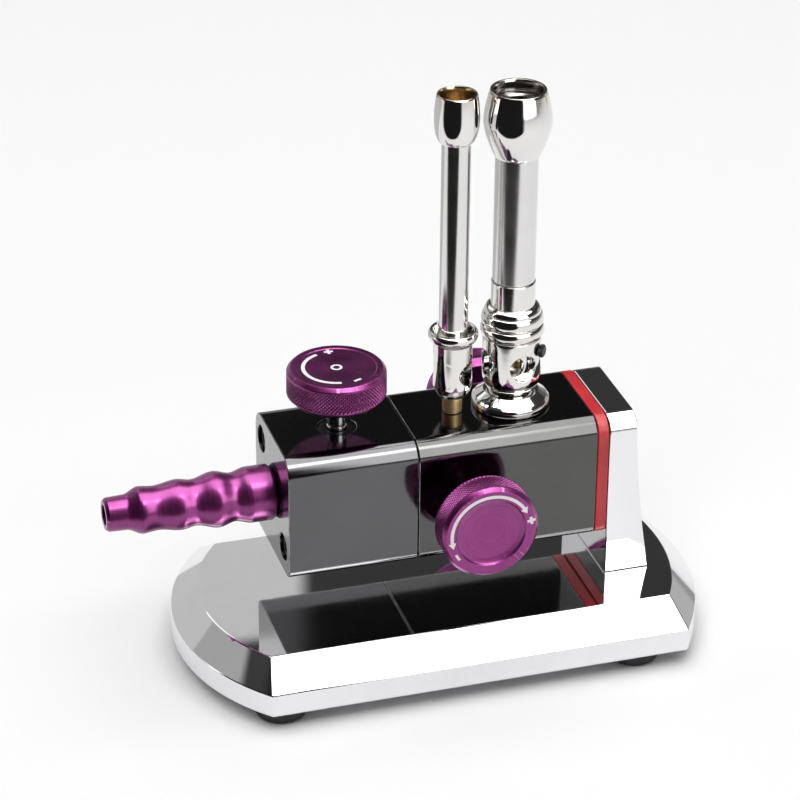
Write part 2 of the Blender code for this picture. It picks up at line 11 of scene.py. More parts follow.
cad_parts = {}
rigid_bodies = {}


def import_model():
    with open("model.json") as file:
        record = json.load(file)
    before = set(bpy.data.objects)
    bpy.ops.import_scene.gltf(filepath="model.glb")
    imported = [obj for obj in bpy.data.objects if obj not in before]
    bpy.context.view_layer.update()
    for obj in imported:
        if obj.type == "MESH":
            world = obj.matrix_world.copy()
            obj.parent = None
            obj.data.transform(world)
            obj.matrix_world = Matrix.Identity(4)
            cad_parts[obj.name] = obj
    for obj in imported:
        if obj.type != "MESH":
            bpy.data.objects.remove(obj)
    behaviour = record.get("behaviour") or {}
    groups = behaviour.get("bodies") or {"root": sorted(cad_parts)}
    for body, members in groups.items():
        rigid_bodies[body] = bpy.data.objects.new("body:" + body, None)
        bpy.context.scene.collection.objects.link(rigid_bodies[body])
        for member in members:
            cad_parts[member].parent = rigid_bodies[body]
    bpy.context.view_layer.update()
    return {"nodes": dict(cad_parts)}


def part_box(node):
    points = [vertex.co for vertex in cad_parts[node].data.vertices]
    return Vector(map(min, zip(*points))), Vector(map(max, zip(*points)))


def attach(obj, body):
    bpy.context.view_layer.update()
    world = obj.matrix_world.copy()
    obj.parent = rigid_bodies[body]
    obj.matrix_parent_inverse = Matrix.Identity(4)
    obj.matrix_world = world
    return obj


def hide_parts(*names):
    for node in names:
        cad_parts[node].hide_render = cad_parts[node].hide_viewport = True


for old in list(bpy.data.objects):
    bpy.data.objects.remove(old, do_unlink=True)

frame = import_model()
NODES = frame["nodes"]

K = 0.001
scene = bpy.context.scene
home = bpy.data.collections.new("torch_pieces")
scene.collection.children.link(home)
helpers = bpy.data.collections.new("helpers")
scene.collection.children.link(helpers)


# ------------------------------------------------------------------ places, from the frame
def lo(node):
    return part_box(node)[0] / K


def hi(node):
    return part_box(node)[1] / K


def mid(node):
    return (lo(node) + hi(node)) / 2


X0 = lo("valve_block").x                    # left end face
X_SPLIT_L, X_SPLIT_R = hi("valve_block").x, lo("burner_block").x
X_END = hi("burner_block").x
YB = mid("valve_block").y
ZB, ZT = lo("valve_block").z, hi("valve_block").z
HALF_W = (hi("valve_block").y - lo("valve_block").y) / 2
X_SHUT = mid("shutoff_stem").x
X_PILOT, X_MAIN = mid("pilot_tube").x, mid("main_tube").x
Z_PILOT, Z_MAIN = mid("pilot_stem").z, mid("main_stem").z
Z_BARB = mid("hose_barb").z
Y_FRONT, Y_BACK = YB - HALF_W, YB + HALF_W


# ------------------------------------------------------------------ mesh helpers
def link(name, mesh, matrix=None):
    obj = bpy.data.objects.new(name, mesh)
    home.objects.link(obj)
    if matrix is not None:
        obj.matrix_world = matrix
    return obj


def mesh_from(name, verts, faces, weld=2e-6, angle=38):
    mesh = bpy.data.meshes.new(name)
    mesh.from_pydata([tuple(v) for v in verts], [], faces)
    bm = bmesh.new()
    bm.from_mesh(mesh)
    if weld:
        bmesh.ops.remove_doubles(bm, verts=bm.verts, dist=weld)
    bmesh.ops.recalc_face_normals(bm, faces=bm.faces)
    bm.to_mesh(mesh)
    bm.free()
    mesh.shade_smooth()
    mesh.set_sharp_from_angle(angle=math.radians(angle))
    return mesh


def weighted(obj):
    m = obj.modifiers.new("weighted", "WEIGHTED_NORMAL")
    m.keep_sharp = True
    m.weight = 60
    return obj


def bevelled(obj, width, segments=3, angle=30):
    m = obj.modifiers.new("edge", "BEVEL")
    m.width = width * K
    m.segments = segments
    m.limit_method = "ANGLE"
    m.angle_limit = math.radians(angle)
    m.use_clamp_overlap = False
    m.miter_outer = "MITER_ARC"
    m.harden_normals = False
    return obj


def fillet(points, default=0.0, closed=True, step=15.0):
    """Rounds the corners of a polyline. A point is (u, v) or (u, v, radius)."""
    out = []
    n = len(points)
    for i, p in enumerate(points):
        b = np.array(p[:2], float)
        radius = p[2] if len(p) > 2 else default
        if radius <= 0 or (not closed and i in (0, n - 1)):
            out.append(tuple(b))
            continue
        a = np.array(points[i - 1][:2], float)
        c = np.array(points[(i + 1) % n][:2], float)
        da, dc = a - b, c - b
        la, lc = np.linalg.norm(da), np.linalg.norm(dc)
        if la < 1e-6 or lc < 1e-6:
            out.append(tuple(b))
            continue
        da, dc = da / la, dc / lc
        cosine = float(np.clip(da @ dc, -1, 1))
        opening = math.acos(cosine)
        if opening > math.radians(176) or opening < math.radians(4):
            out.append(tuple(b))
            continue
        cut = min(radius / math.tan(opening / 2), 0.46 * la, 0.46 * lc)
        r = cut * math.tan(opening / 2)
        turn = math.pi - opening
        centre = b + (da + dc) / np.linalg.norm(da + dc) * (r / math.sin(opening / 2))
        start = b + da * cut - centre
        end = b + dc * cut - centre
        k = max(2, math.ceil(math.degrees(turn) / step))
        a0 = math.atan2(start[1], start[0])
        a1 = math.atan2(end[1], end[0])
        d = (a1 - a0 + math.pi) % (2 * math.pi) - math.pi
        for j in range(k + 1):
            t = a0 + d * j / k
            out.append((centre[0] + r * math.cos(t), centre[1] + r * math.sin(t)))
    return out


def axis_matrix(origin, direction, spin=0.0):
    turn = Vector(direction).to_track_quat("Z", "Y").to_matrix().to_4x4()
    return Matrix.Translation(Vector(origin) * K) @ turn @ Matrix.Rotation(math.radians(spin), 4, "Z")


UP, LEFT, FRONT, BACK, RIGHT = (0, 0, 1), (-1, 0, 0), (0, -1, 0), (0, 1, 0), (1, 0, 0)


def spun(profile, seg, ring, phase=0.0):
    """Vertices and faces of a (radius, height) profile turned about local Z."""
    ang = phase + np.arange(seg) * 2 * math.pi / seg
    c, s = np.cos(ang), np.sin(ang)
    verts, faces = [], []
    n = len(profile)
    for r, h in profile:
        verts += [(r * K * ci, r * K * si, h * K) for ci, si in zip(c, s)]
    last = n if ring else n - 1
    for i in range(last):
        j = (i + 1) % n
        ra, rb = profile[i][0], profile[j][0]
        for k in range(seg):
            m = (k + 1) % seg
            a, b, cc, d = i * seg + k, i * seg + m, j * seg + m, j * seg + k
            if ra < 1e-6 and rb < 1e-6:
                continue
            if ra < 1e-6:
                faces.append((a, cc, d))
            elif rb < 1e-6:
                faces.append((a, b, d))
            else:
                faces.append((a, b, cc, d))
    return verts, faces


def turned(name, profile, origin, direction=UP, seg=128, ring=False, r=0.12, spin=0.0, step=15.0, angle=38):
    """A fine turned piece. The profile is in mm; corners get a small radius r."""
    pts = fillet(profile, r, closed=ring, step=step)
    verts, faces = spun(pts, seg, ring)
    obj = link(name, mesh_from(name, verts, faces, angle=angle), axis_matrix(origin, direction, spin))
    return weighted(obj)


def swell(stations, per=10):
    """Smooth curve through (distance, radius) stations, level at each of them."""
    out = []
    for (d0, r0), (d1, r1) in zip(stations, stations[1:]):
        k = per if d1 - d0 > 2 and abs(r1 - r0) > 0.2 else 1
        for i in range(k):
            t = i / k
            e = t * t * (3 - 2 * t)
            out.append((r0 + (r1 - r0) * e, d0 + (d1 - d0) * t))
    return out + [(stations[-1][1], stations[-1][0])]


def spline(points, per=8):
    """Catmull-Rom curve through (u, v) points."""
    p = [np.array(q, float) for q in points]
    p = [2 * p[0] - p[1]] + p + [2 * p[-1] - p[-2]]
    out = []
    for i in range(1, len(p) - 2):
        for j in range(per):
            t = j / per
            q = 0.5 * (2 * p[i] + (p[i + 1] - p[i - 1]) * t + (2 * p[i - 1] - 5 * p[i] + 4 * p[i + 1] - p[i + 2]) * t * t
                       + (3 * p[i] - p[i - 1] - 3 * p[i + 1] + p[i + 2]) * t ** 3)
            out.append(tuple(q))
    return out + [tuple(p[-2])]


def cutter(name, profile, origin, direction, seg=64, spin=0.0):
    """A turned solid used as a drill; its profile starts and ends on the axis."""
    verts, faces = spun(profile, seg, False)
    mesh = mesh_from(name, verts, faces)
    obj = bpy.data.objects.new(name, mesh)
    helpers.objects.link(obj)
    obj.matrix_world = axis_matrix(origin, direction, spin)
    return obj


def drill(name, radius, start, end, seg=64, spin=0.0):
    a, b = Vector(start), Vector(end)
    length = (b - a).length
    return cutter(name, [(0, length), (radius, length), (radius, 0), (0, 0)], a, (b - a).normalized(), seg, spin)


def carve(obj, *tools):
    """Cuts the tools out of obj for good and removes them."""
    for t in tools:
        m = obj.modifiers.new("cut", "BOOLEAN")
        m.operation = "DIFFERENCE"
        m.solver = "EXACT"
        m.object = t
    bpy.context.view_layer.update()
    graph = bpy.context.evaluated_depsgraph_get()
    mesh = bpy.data.meshes.new_from_object(obj.evaluated_get(graph))
    obj.modifiers.clear()
    obj.data = mesh
    bm = bmesh.new()
    bm.from_mesh(mesh)
    bmesh.ops.remove_doubles(bm, verts=bm.verts, dist=2e-6)
    bmesh.ops.dissolve_degenerate(bm, edges=bm.edges, dist=2e-6)
    bm.to_mesh(mesh)
    bm.free()
    mesh.shade_smooth()
    mesh.set_sharp_from_angle(angle=math.radians(38))
    for t in tools:
        bpy.data.objects.remove(t, do_unlink=True)
    return obj


def prism_x(name, outline, x0, x1):
    """A (y, z) outline in mm drawn out along X."""
    n = len(outline)
    verts = [(x0 * K, y * K, z * K) for y, z in outline] + [(x1 * K, y * K, z * K) for y, z in outline]
    faces = [tuple(range(n)), tuple(range(2 * n - 1, n - 1, -1))]
    faces += [(i, (i + 1) % n, n + (i + 1) % n, n + i) for i in range(n)]
    return link(name, mesh_from(name, verts, faces))


def arc(cx, cy, r, a0, a1, steps):
    return [(cx + r * math.cos(math.radians(a0 + (a1 - a0) * i / steps)),
             cy + r * math.sin(math.radians(a0 + (a1 - a0) * i / steps))) for i in range(steps + 1)]


def windowed(name, lower, upper, R, Rin, band, hole, count, azimuth, origin, hole_x=1.0, seg=144, rows=14, edge=0.16, spin=0.0):
    """A turned tube with round windows. lower runs from the outside of the band's foot round to
    the inside, upper from the inside of the band's top round to the outside; the band itself is
    built from patches that flow into each window's rounded rim. hole is (height, radius)."""
    h0, h1 = band
    hc, hr = hole
    verts, faces = [], []

    def add(vs, fs):
        base = len(verts)
        verts.extend(vs)
        faces.extend(tuple(base + i for i in f) for f in fs)

    per = seg // count
    half = math.pi / count
    for prof in (lower, upper):
        add(*spun(prof, seg, False, phase=-half))
    border = []
    for i in range(per):
        border.append((-half + 2 * half * i / per, h0))
    for i in range(rows):
        border.append((half, h0 + (h1 - h0) * i / rows))
    for i in range(per):
        border.append((half - 2 * half * i / per, h1))
    for i in range(rows):
        border.append((-half, h1 - (h1 - h0) * i / rows))
    m = len(border)
    for side in range(count):
        turn = 2 * half * side
        c, s = math.cos(turn), math.sin(turn)

        def world(x, u, v):
            return ((x * c - u * s) * K, (x * s + u * c) * K, v * K)

        loops = []
        phis = [math.atan2((h - hc), R * a) for a, h in border]

        def rim(radius, rho, sink=0.0):
            ring = []
            for phi in phis:
                u, v = radius * math.cos(phi) * hole_x, radius * math.sin(phi)
                ring.append(world(math.sqrt(max(rho * rho - u * u, 0.01)) - sink, u, hc + v))
            return ring

        def skin(rho, grow):
            rings = []
            ts = (0.0, 0.22, 0.42, 0.6, 0.75, 0.87, 0.95)
            for t in ts:
                ring = []
                for (a, h), phi in zip(border, phis):
                    uc = (hr + grow) * math.cos(phi) * hole_x
                    ac = math.asin(max(-1, min(1, uc / rho)))
                    aa = a + (ac - a) * t
                    hh = h + (hc + (hr + grow) * math.sin(phi) - h) * t
                    ring.append(world(rho * math.cos(aa), rho * math.sin(aa), hh))
                rings.append(ring)
            return rings

        loops += skin(R, edge)
        for q in range(0, 5):
            al = math.radians(90 * q / 4)
            loops.append(rim(hr + edge * (1 - math.sin(al)), R, edge * (1 - math.cos(al))))
        for q in (0.35, 0.7, 1.0):
            ring = []
            for phi in phis:
                u, v = hr * math.cos(phi) * hole_x, hr * math.sin(phi)
                xo = math.sqrt(max(R * R - u * u, 0.01)) - edge
                xi = math.sqrt(max(Rin * Rin - u * u, 0.01))
                ring.append(world(xo + (xi - xo) * q, u, hc + v))
            loops.append(ring)
        inner = skin(Rin, 0.0)
        loops += inner[::-1]
        vs = [p for ring in loops for p in ring]
        fs = []
        for i in range(len(loops) - 1):
            for k in range(m):
                n2 = (k + 1) % m
                fs.append((i * m + k, i * m + n2, (i + 1) * m + n2, (i + 1) * m + k))
        add(vs, fs)
    obj = link(name, mesh_from(name, verts, faces, weld=3e-6), axis_matrix(origin, UP, azimuth - 90 + spin))
    return weighted(obj)


# ------------------------------------------------------------------ node material helpers
class Mat:
    def __init__(self, name):
        self.mat = bpy.data.materials.new(name)
        self.mat.use_nodes = True
        self.t = self.mat.node_tree
        self.t.nodes.clear()
        self.out = self.t.nodes.new("ShaderNodeOutputMaterial")
        self.bsdf = self.t.nodes.new("ShaderNodeBsdfPrincipled")
        self.t.links.new(self.bsdf.outputs[0], self.out.inputs[0])
        self.coord = self.t.nodes.new("ShaderNodeTexCoord").outputs["Object"]

    def set(self, socket, value):
        self.put(self.bsdf.inputs[socket], value)
        return self

    def put(self, socket, value):
        if isinstance(value, bpy.types.NodeSocket):
            self.t.links.new(value, socket)
        elif isinstance(value, (tuple, list)) and len(value) == 3 and socket.type == "RGBA":
            socket.default_value = (*value, 1.0)
        else:
            socket.default_value = value

    def node(self, kind, **props):
        n = self.t.nodes.new(kind)
        for k, v in props.items():
            setattr(n, k, v)
        return n

    def math(self, op, a, b=0.0, c=0.0, clamp=False):
        n = self.node("ShaderNodeMath", operation=op, use_clamp=clamp)
        for i, v in enumerate((a, b, c)):
            self.put(n.inputs[i], v)
        return n.outputs[0]

    def scaled(self, vec, sx, sy, sz):
        n = self.node("ShaderNodeVectorMath", operation="MULTIPLY")
        self.put(n.inputs[0], vec)
        n.inputs[1].default_value = (sx, sy, sz)
        return n.outputs[0]

    def noise(self, scale, detail=2.0, rough=0.5, vec=None, distort=0.0):
        n = self.node("ShaderNodeTexNoise")
        self.put(n.inputs["Vector"], vec if vec is not None else self.coord)
        n.inputs["Scale"].default_value = scale
        n.inputs["Detail"].default_value = detail
        n.inputs["Roughness"].default_value = rough
        n.inputs["Distortion"].default_value = distort
        return n.outputs["Fac"] if "Fac" in n.outputs else n.outputs[0]

    def remap(self, v, a, b, c=0.0, d=1.0, smooth=False):
        n = self.node("ShaderNodeMapRange")
        n.clamp = True
        if smooth:
            n.interpolation_type = "SMOOTHSTEP"
        self.put(n.inputs["Value"], v)
        for key, value in zip(("From Min", "From Max", "To Min", "To Max"), (a, b, c, d)):
            self.put(n.inputs[key], value)
        return n.outputs["Result"]

    def mix(self, fac, a, b, blend="MIX"):
        n = self.node("ShaderNodeMix", data_type="RGBA", blend_type=blend)
        self.put(n.inputs[0], fac)
        self.put(n.inputs[6], a)
        self.put(n.inputs[7], b)
        return n.outputs[2]

    def xyz(self, vec=None):
        n = self.node("ShaderNodeSeparateXYZ")
        self.put(n.inputs[0], vec if vec is not None else self.coord)
        return n.outputs

    def polar(self):
        """(distance from local Z, angle, height), for turned work."""
        x, y, z = self.xyz()
        rho = self.math("SQRT", self.math("ADD", self.math("MULTIPLY", x, x), self.math("MULTIPLY", y, y)))
        return rho, self.math("ARCTAN2", y, x), z

    def combine(self, x, y, z):
        n = self.node("ShaderNodeCombineXYZ")
        for i, v in enumerate((x, y, z)):
            self.put(n.inputs[i], v)
        return n.outputs[0]

    def bump(self, height, strength, distance=0.00005, normal=None):
        n = self.node("ShaderNodeBump")
        n.inputs["Strength"].default_value = strength
        n.inputs["Distance"].default_value = distance
        self.put(n.inputs["Height"], height)
        if normal is not None:
            self.put(n.inputs["Normal"], normal)
        return n.outputs[0]

    def edges(self, a=0.51, b=0.58):
        g = self.node("ShaderNodeNewGeometry")
        return self.remap(g.outputs["Pointiness"], a, b)

    def normal_axes(self):
        g = self.node("ShaderNodeNewGeometry")
        return self.xyz(g.outputs["True Normal"])

    def turning(self, rings=2600.0):
        """Fine marks that run round local Z, as a lathe or a polishing belt leaves them."""
        rho, ang, z = self.polar()
        ring = self.math("SINE", ang)
        vec = self.combine(self.math("MULTIPLY", rho, rings), self.math("MULTIPLY", z, rings), self.math("MULTIPLY", ring, 0.8))
        return self.noise(1.0, 3.0, 0.6, vec)


def chrome(name, color=(0.80, 0.80, 0.81), rough=(0.03, 0.09), turned_marks=False, warm=None, streak=(1, 1, 1), bump=0.05):
    m = Mat(name)
    smudge = m.noise(55, 5, 0.62, distort=0.4)
    spots = m.noise(900, 3, 0.7)
    if turned_marks:
        fine = m.turning()
    else:
        fine = m.noise(2200, 2, 0.6, m.scaled(m.coord, *streak))
    film = m.remap(smudge, 0.42, 0.72)
    tone = m.mix(m.math("MULTIPLY", film, 0.35), color, tuple(c * 0.86 for c in color))
    if warm:
        tone = m.mix(m.remap(m.noise(38, 3), 0.45, 0.7, 0, 0.55), tone, warm)
    # lighter colour on sharp edges: a painted edge highlight, partly edge wear
    edge_highlight_and_wear = m.edges(0.53, 0.62)
    tone = m.mix(m.math("MULTIPLY", edge_highlight_and_wear, 0.5), tone, tuple(min(1, c * 1.1) for c in color))
    m.set("Base Color", tone)
    m.set("Metallic", 1.0)
    r = m.remap(smudge, 0.4, 0.75, rough[0], rough[1])
    r = m.math("ADD", r, m.remap(spots, 0.62, 0.75, 0.0, 0.05))
    r = m.math("ADD", r, m.remap(fine, 0.45, 0.7, 0.0, 0.03), clamp=True)
    m.set("Roughness", r)
    m.set("Normal", m.bump(fine, bump, 0.00002))
    return m


# ------------------------------------------------------------------ materials
def make_materials():
    M = {}
    M["base_chrome"] = chrome("base_chrome", (0.82, 0.82, 0.83), (0.025, 0.075), streak=(0.25, 1, 1), bump=0.03)
    M["column_chrome"] = chrome("column_chrome", (0.82, 0.82, 0.83), (0.03, 0.09), streak=(1, 1, 0.2), bump=0.04)
    M["nickel"] = chrome("burner_nickel", (0.78, 0.765, 0.745), (0.06, 0.12), True, warm=(0.74, 0.70, 0.65))
    M["nickel_tube"] = chrome("burner_nickel_tube", (0.74, 0.73, 0.715), (0.12, 0.17), True, warm=(0.71, 0.68, 0.64))
    M["nickel_satin"] = chrome("burner_nickel_satin", (0.72, 0.71, 0.705), (0.17, 0.24), True, warm=(0.70, 0.66, 0.64))

    # tips: heat colours close to the mouth; inside the bore near the mouth, a tinted colour darkened in patches
    for key, inner, inner_dark, gold in (("tip_main", 5.95, 0.75, (0.42, 0.40, 0.38)), ("tip_pilot", 4.45, 0.45, (0.66, 0.50, 0.28))):
        m = chrome("burner_" + key, (0.78, 0.77, 0.76), (0.04, 0.10), True)
        rho, ang, z = m.polar()
        top = {"tip_main": 85.5, "tip_pilot": 86.1}[key] * K
        wob = m.math("MULTIPLY", m.math("SUBTRACT", m.noise(160, 3), 0.5), 0.004)
        height = m.math("ADD", z, wob)
        heat = m.remap(height, top - 0.0042, top - 0.0004, 0, 0.55, True)
        tone = m.bsdf.inputs["Base Color"].links[0].from_socket
        tone = m.mix(heat, tone, (0.74, 0.66, 0.52))
        reach = {"tip_main": 0.014, "tip_pilot": 0.009}[key]
        # inside the bore near the mouth the colour turns to a tint that darkens in patches
        inside = m.math("MULTIPLY", m.remap(rho, (inner + 0.25) * K, (inner - 0.1) * K), m.remap(z, top - reach - 0.001, top - reach))
        inner_tone = m.mix(m.remap(m.noise(420, 4, 0.7), 0.35, 0.65, 0, inner_dark), gold, tuple(c * 0.18 for c in gold))
        m.set("Base Color", m.mix(m.math("MULTIPLY", inside, 0.92), tone, inner_tone))
        rough = m.bsdf.inputs["Roughness"].links[0].from_socket
        m.set("Roughness", m.math("ADD", rough, m.math("MULTIPLY", inside, 0.14)))
        M[key] = m

    def black(name, tone, seed):
        m = Mat(name)
        vec = m.scaled(m.coord, 0.06, 1.0, 1.0)
        shift = m.node("ShaderNodeVectorMath", operation="ADD")
        m.put(shift.inputs[0], vec)
        shift.inputs[1].default_value = (seed, seed * 0.7, 0)
        grain = m.noise(2600, 3, 0.65, shift.outputs[0])
        cloud = m.noise(42, 4, 0.55, distort=0.3)
        dust = m.noise(3100, 2, 0.5)
        nx, ny, nz = m.normal_axes()
        flank = m.math("MAXIMUM", m.math("ABSOLUTE", nx), m.math("ABSOLUTE", ny))
        col = m.mix(m.remap(cloud, 0.35, 0.7), tone, tuple(c * 1.12 for c in tone))
        col = m.mix(m.math("MULTIPLY", m.remap(grain, 0.5, 0.75), 0.30), col, tuple(c * 1.45 for c in tone))
        # side faces a little lighter than the top: painted light for the brighter sheen the flanks catch
        col = m.mix(m.math("MULTIPLY", m.remap(flank, 0.7, 0.95), 0.30), col, tuple(c * 1.3 for c in tone))
        # faces looking along -X, the left end, about twice as light: painted reflection of the bright floor and base
        # plate
        col = m.mix(m.math("MULTIPLY", m.remap(nx, -0.75, -0.98), 0.85), col, tuple(c * 2.1 for c in tone))
        # bevels at the block ends lighter grey in patches: a painted edge highlight, partly edge wear
        slant = m.math("ABSOLUTE", nx)
        rim = m.math("MULTIPLY", m.remap(slant, 0.12, 0.4), m.remap(slant, 0.80, 0.97, 1.0, 0.0))
        edge_highlight_and_wear = m.math("MULTIPLY", rim, m.remap(m.noise(700, 3), 0.42, 0.62, 0.15, 0.75))
        col = m.mix(edge_highlight_and_wear, col, (0.42, 0.42, 0.43))
        m.set("Base Color", col)
        m.set("Metallic", 1.0)
        r = m.remap(cloud, 0.3, 0.75, 0.075, 0.10)
        r = m.math("ADD", r, m.remap(grain, 0.4, 0.75, 0.0, 0.05))
        r = m.math("ADD", r, m.remap(dust, 0.66, 0.74, 0.0, 0.18), clamp=True)
        m.set("Roughness", r)
        m.set("Normal", m.bump(grain, 0.06, 0.00002))
        return m

    M["black_left"] = black("black_anodised_left", (0.105, 0.105, 0.108), 3.0)
    M["black_right"] = black("black_anodised_right", (0.090, 0.090, 0.088), 7.0)

    m = Mat("red_spacer")
    cloud, pores = m.noise(90, 4), m.noise(2400, 3, 0.6)
    col = m.mix(m.remap(cloud, 0.35, 0.7), (0.50, 0.012, 0.022), (0.62, 0.030, 0.038))
    col = m.mix(m.math("MULTIPLY", m.remap(m.noise(1400, 3), 0.58, 0.72), 0.22), col, (0.72, 0.14, 0.13))
    m.set("Base Color", col)
    m.set("Roughness", m.remap(pores, 0.3, 0.75, 0.26, 0.46))
    m.set("Specular IOR Level", 0.55)
    m.set("Subsurface Weight", 0.12)
    m.set("Subsurface Radius", (0.002, 0.0006, 0.0005))
    m.set("Normal", m.bump(pores, 0.12, 0.00004))
    M["red"] = m

    def purple(name, marks=True, rough=(0.24, 0.36)):
        m = Mat(name)
        fine = m.turning(2200.0)
        cloud = m.noise(70, 4, 0.6)
        col = m.mix(m.remap(cloud, 0.35, 0.7), (0.262, 0.040, 0.190), (0.212, 0.029, 0.156))
        col = m.mix(m.math("MULTIPLY", m.remap(fine, 0.45, 0.75), 0.35), col, (0.34, 0.075, 0.26))
        # lighter pink on sharp edges: a painted edge highlight, partly edge wear
        edge_highlight_and_wear = m.math("MULTIPLY", m.edges(0.53, 0.62), m.remap(m.noise(900, 3), 0.4, 0.62, 0.15, 0.8))
        col = m.mix(edge_highlight_and_wear, col, (0.52, 0.24, 0.46))
        m.set("Base Color", col)
        m.set("Metallic", 0.95)
        m.set("Roughness", m.math("ADD", m.remap(cloud, 0.3, 0.7, rough[0], rough[1]), m.remap(fine, 0.4, 0.75, 0.0, 0.06)))
        m.set("Anisotropic", 0.35)
        m.set("Coat Weight", 0.45)
        m.set("Coat Roughness", 0.16)
        m.set("Normal", m.bump(fine, 0.10, 0.00003))
        return m

    M["purple_knob"] = purple("purple_anodised_knob")
    M["purple_barb"] = purple("purple_anodised_barb", rough=(0.26, 0.34))

    m = Mat("white_print")
    grain = m.noise(5200, 3, 0.7)
    col = m.mix(m.remap(grain, 0.3, 0.7), (0.86, 0.80, 0.86), (0.93, 0.90, 0.93))
    col = m.mix(m.remap(m.noise(1500, 3, 0.7), 0.60, 0.72, 0, 0.35), col, (0.55, 0.28, 0.50))
    m.set("Base Color", col)
    m.set("Roughness", m.remap(grain, 0.3, 0.7, 0.38, 0.55))
    m.set("Normal", m.bump(grain, 0.15, 0.00002))
    M["print"] = m

    m = Mat("brass")
    fine, cloud = m.turning(2400.0), m.noise(260, 4, 0.6)
    col = m.mix(m.remap(cloud, 0.35, 0.7), (0.93, 0.70, 0.37), (0.80, 0.56, 0.26))
    # lighter colour on sharp edges: a painted edge highlight, partly edge wear
    col = m.mix(m.math("MULTIPLY", m.edges(0.53, 0.62), 0.6), col, (0.92, 0.74, 0.45))
    m.set("Base Color", col)
    m.set("Metallic", 1.0)
    m.set("Roughness", m.math("ADD", m.remap(cloud, 0.3, 0.7, 0.34, 0.46), m.remap(fine, 0.4, 0.75, 0.0, 0.08)))
    m.set("Anisotropic", 0.3)
    m.set("Normal", m.bump(fine, 0.12, 0.00003))
    M["brass"] = m

    m = Mat("bright_steel")
    fine, cloud = m.turning(3000.0), m.noise(300, 3)
    col = m.mix(m.remap(cloud, 0.35, 0.7), (0.76, 0.755, 0.75), (0.66, 0.655, 0.65))
    # lighter colour on sharp edges: a painted edge highlight, partly edge wear
    m.set("Base Color", m.mix(m.math("MULTIPLY", m.edges(), 0.4), col, (0.85, 0.85, 0.85)))
    m.set("Metallic", 1.0)
    m.set("Roughness", m.math("ADD", m.remap(cloud, 0.3, 0.7, 0.10, 0.18), m.remap(fine, 0.4, 0.75, 0.0, 0.08)))
    m.set("Anisotropic", 0.4)
    m.set("Normal", m.bump(fine, 0.10, 0.00003))
    M["steel"] = m

    m = Mat("zinc_plated")
    patch, fine = m.noise(700, 4, 0.65), m.noise(2600, 2)
    col = m.mix(m.remap(patch, 0.35, 0.7), (0.58, 0.60, 0.63), (0.44, 0.45, 0.45))
    col = m.mix(m.remap(m.noise(180, 2), 0.4, 0.7, 0, 0.35), col, (0.62, 0.58, 0.42))
    m.set("Base Color", col)
    m.set("Metallic", 1.0)
    m.set("Roughness", m.remap(fine, 0.3, 0.75, 0.24, 0.42))
    m.set("Normal", m.bump(patch, 0.12, 0.00004))
    M["zinc"] = m

    m = Mat("black_steel")
    patch, fine = m.noise(800, 4, 0.6), m.noise(3200, 2)
    col = m.mix(m.remap(patch, 0.35, 0.7), (0.020, 0.020, 0.022), (0.045, 0.044, 0.046))
    # lighter grey on sharp edges: a painted edge highlight, partly edge wear
    col = m.mix(m.math("MULTIPLY", m.edges(0.53, 0.62), 0.6), col, (0.35, 0.34, 0.34))
    m.set("Base Color", col)
    m.set("Metallic", 0.9)
    m.set("Roughness", m.remap(fine, 0.3, 0.75, 0.28, 0.46))
    m.set("Normal", m.bump(patch, 0.15, 0.00004))
    M["black_steel"] = m

    m = Mat("black_rubber")
    pores, cloud = m.noise(2600, 4, 0.7), m.noise(140, 3)
    col = m.mix(m.remap(cloud, 0.35, 0.7), (0.012, 0.012, 0.013), (0.026, 0.025, 0.025))
    col = m.mix(m.remap(m.noise(1200, 3, 0.6), 0.62, 0.78, 0, 0.4), col, (0.09, 0.088, 0.085))
    m.set("Base Color", col)
    m.set("Roughness", m.remap(pores, 0.3, 0.75, 0.55, 0.82))
    m.set("Specular IOR Level", 0.35)
    m.set("Normal", m.bump(pores, 0.35, 0.00006))
    M["rubber"] = m
    return M


MATS = make_materials()


def dress(obj, look, slot, body="torch_frame", *nodes):
    obj.data.materials.clear()
    obj.data.materials.append(MATS[look].mat)
    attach(obj, body)
    if nodes:
        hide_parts(*nodes)
    return obj


# ------------------------------------------------------------------ base
BASE_LO, BASE_HI = lo("base_plate"), hi("base_plate")
BX1, BX2 = -44.3, 64.7
SAG_L, SAG_R = BX1 - BASE_LO.x, BASE_HI.x - BX2
BHALF = BASE_HI.y
RIM_Z, TOP_Z, FOOT_Z = 10.3, BASE_HI.z, BASE_LO.z


def base_outline(inset_y, inset_x, sag_left, sag_right, steps=56, straight=10):
    half = BHALF - inset_y
    x1, x2 = BX1 + inset_x, BX2 - inset_x
    pts = []
    for x, sag, way, other in ((x2, sag_right, 1, x1), (x1, sag_left, -1, x2)):
        radius = (half * half + sag * sag) / (2 * sag)
        swing = math.degrees(math.asin(half / radius))
        m0 = 0.0 if way > 0 else 180.0
        pts += arc(x - way * (radius - sag), 0.0, radius, m0 - swing, m0 + swing, steps)
        y = half if way > 0 else -half
        pts += [(x + (other - x) * i / straight, y) for i in range(1, straight)]
    return pts


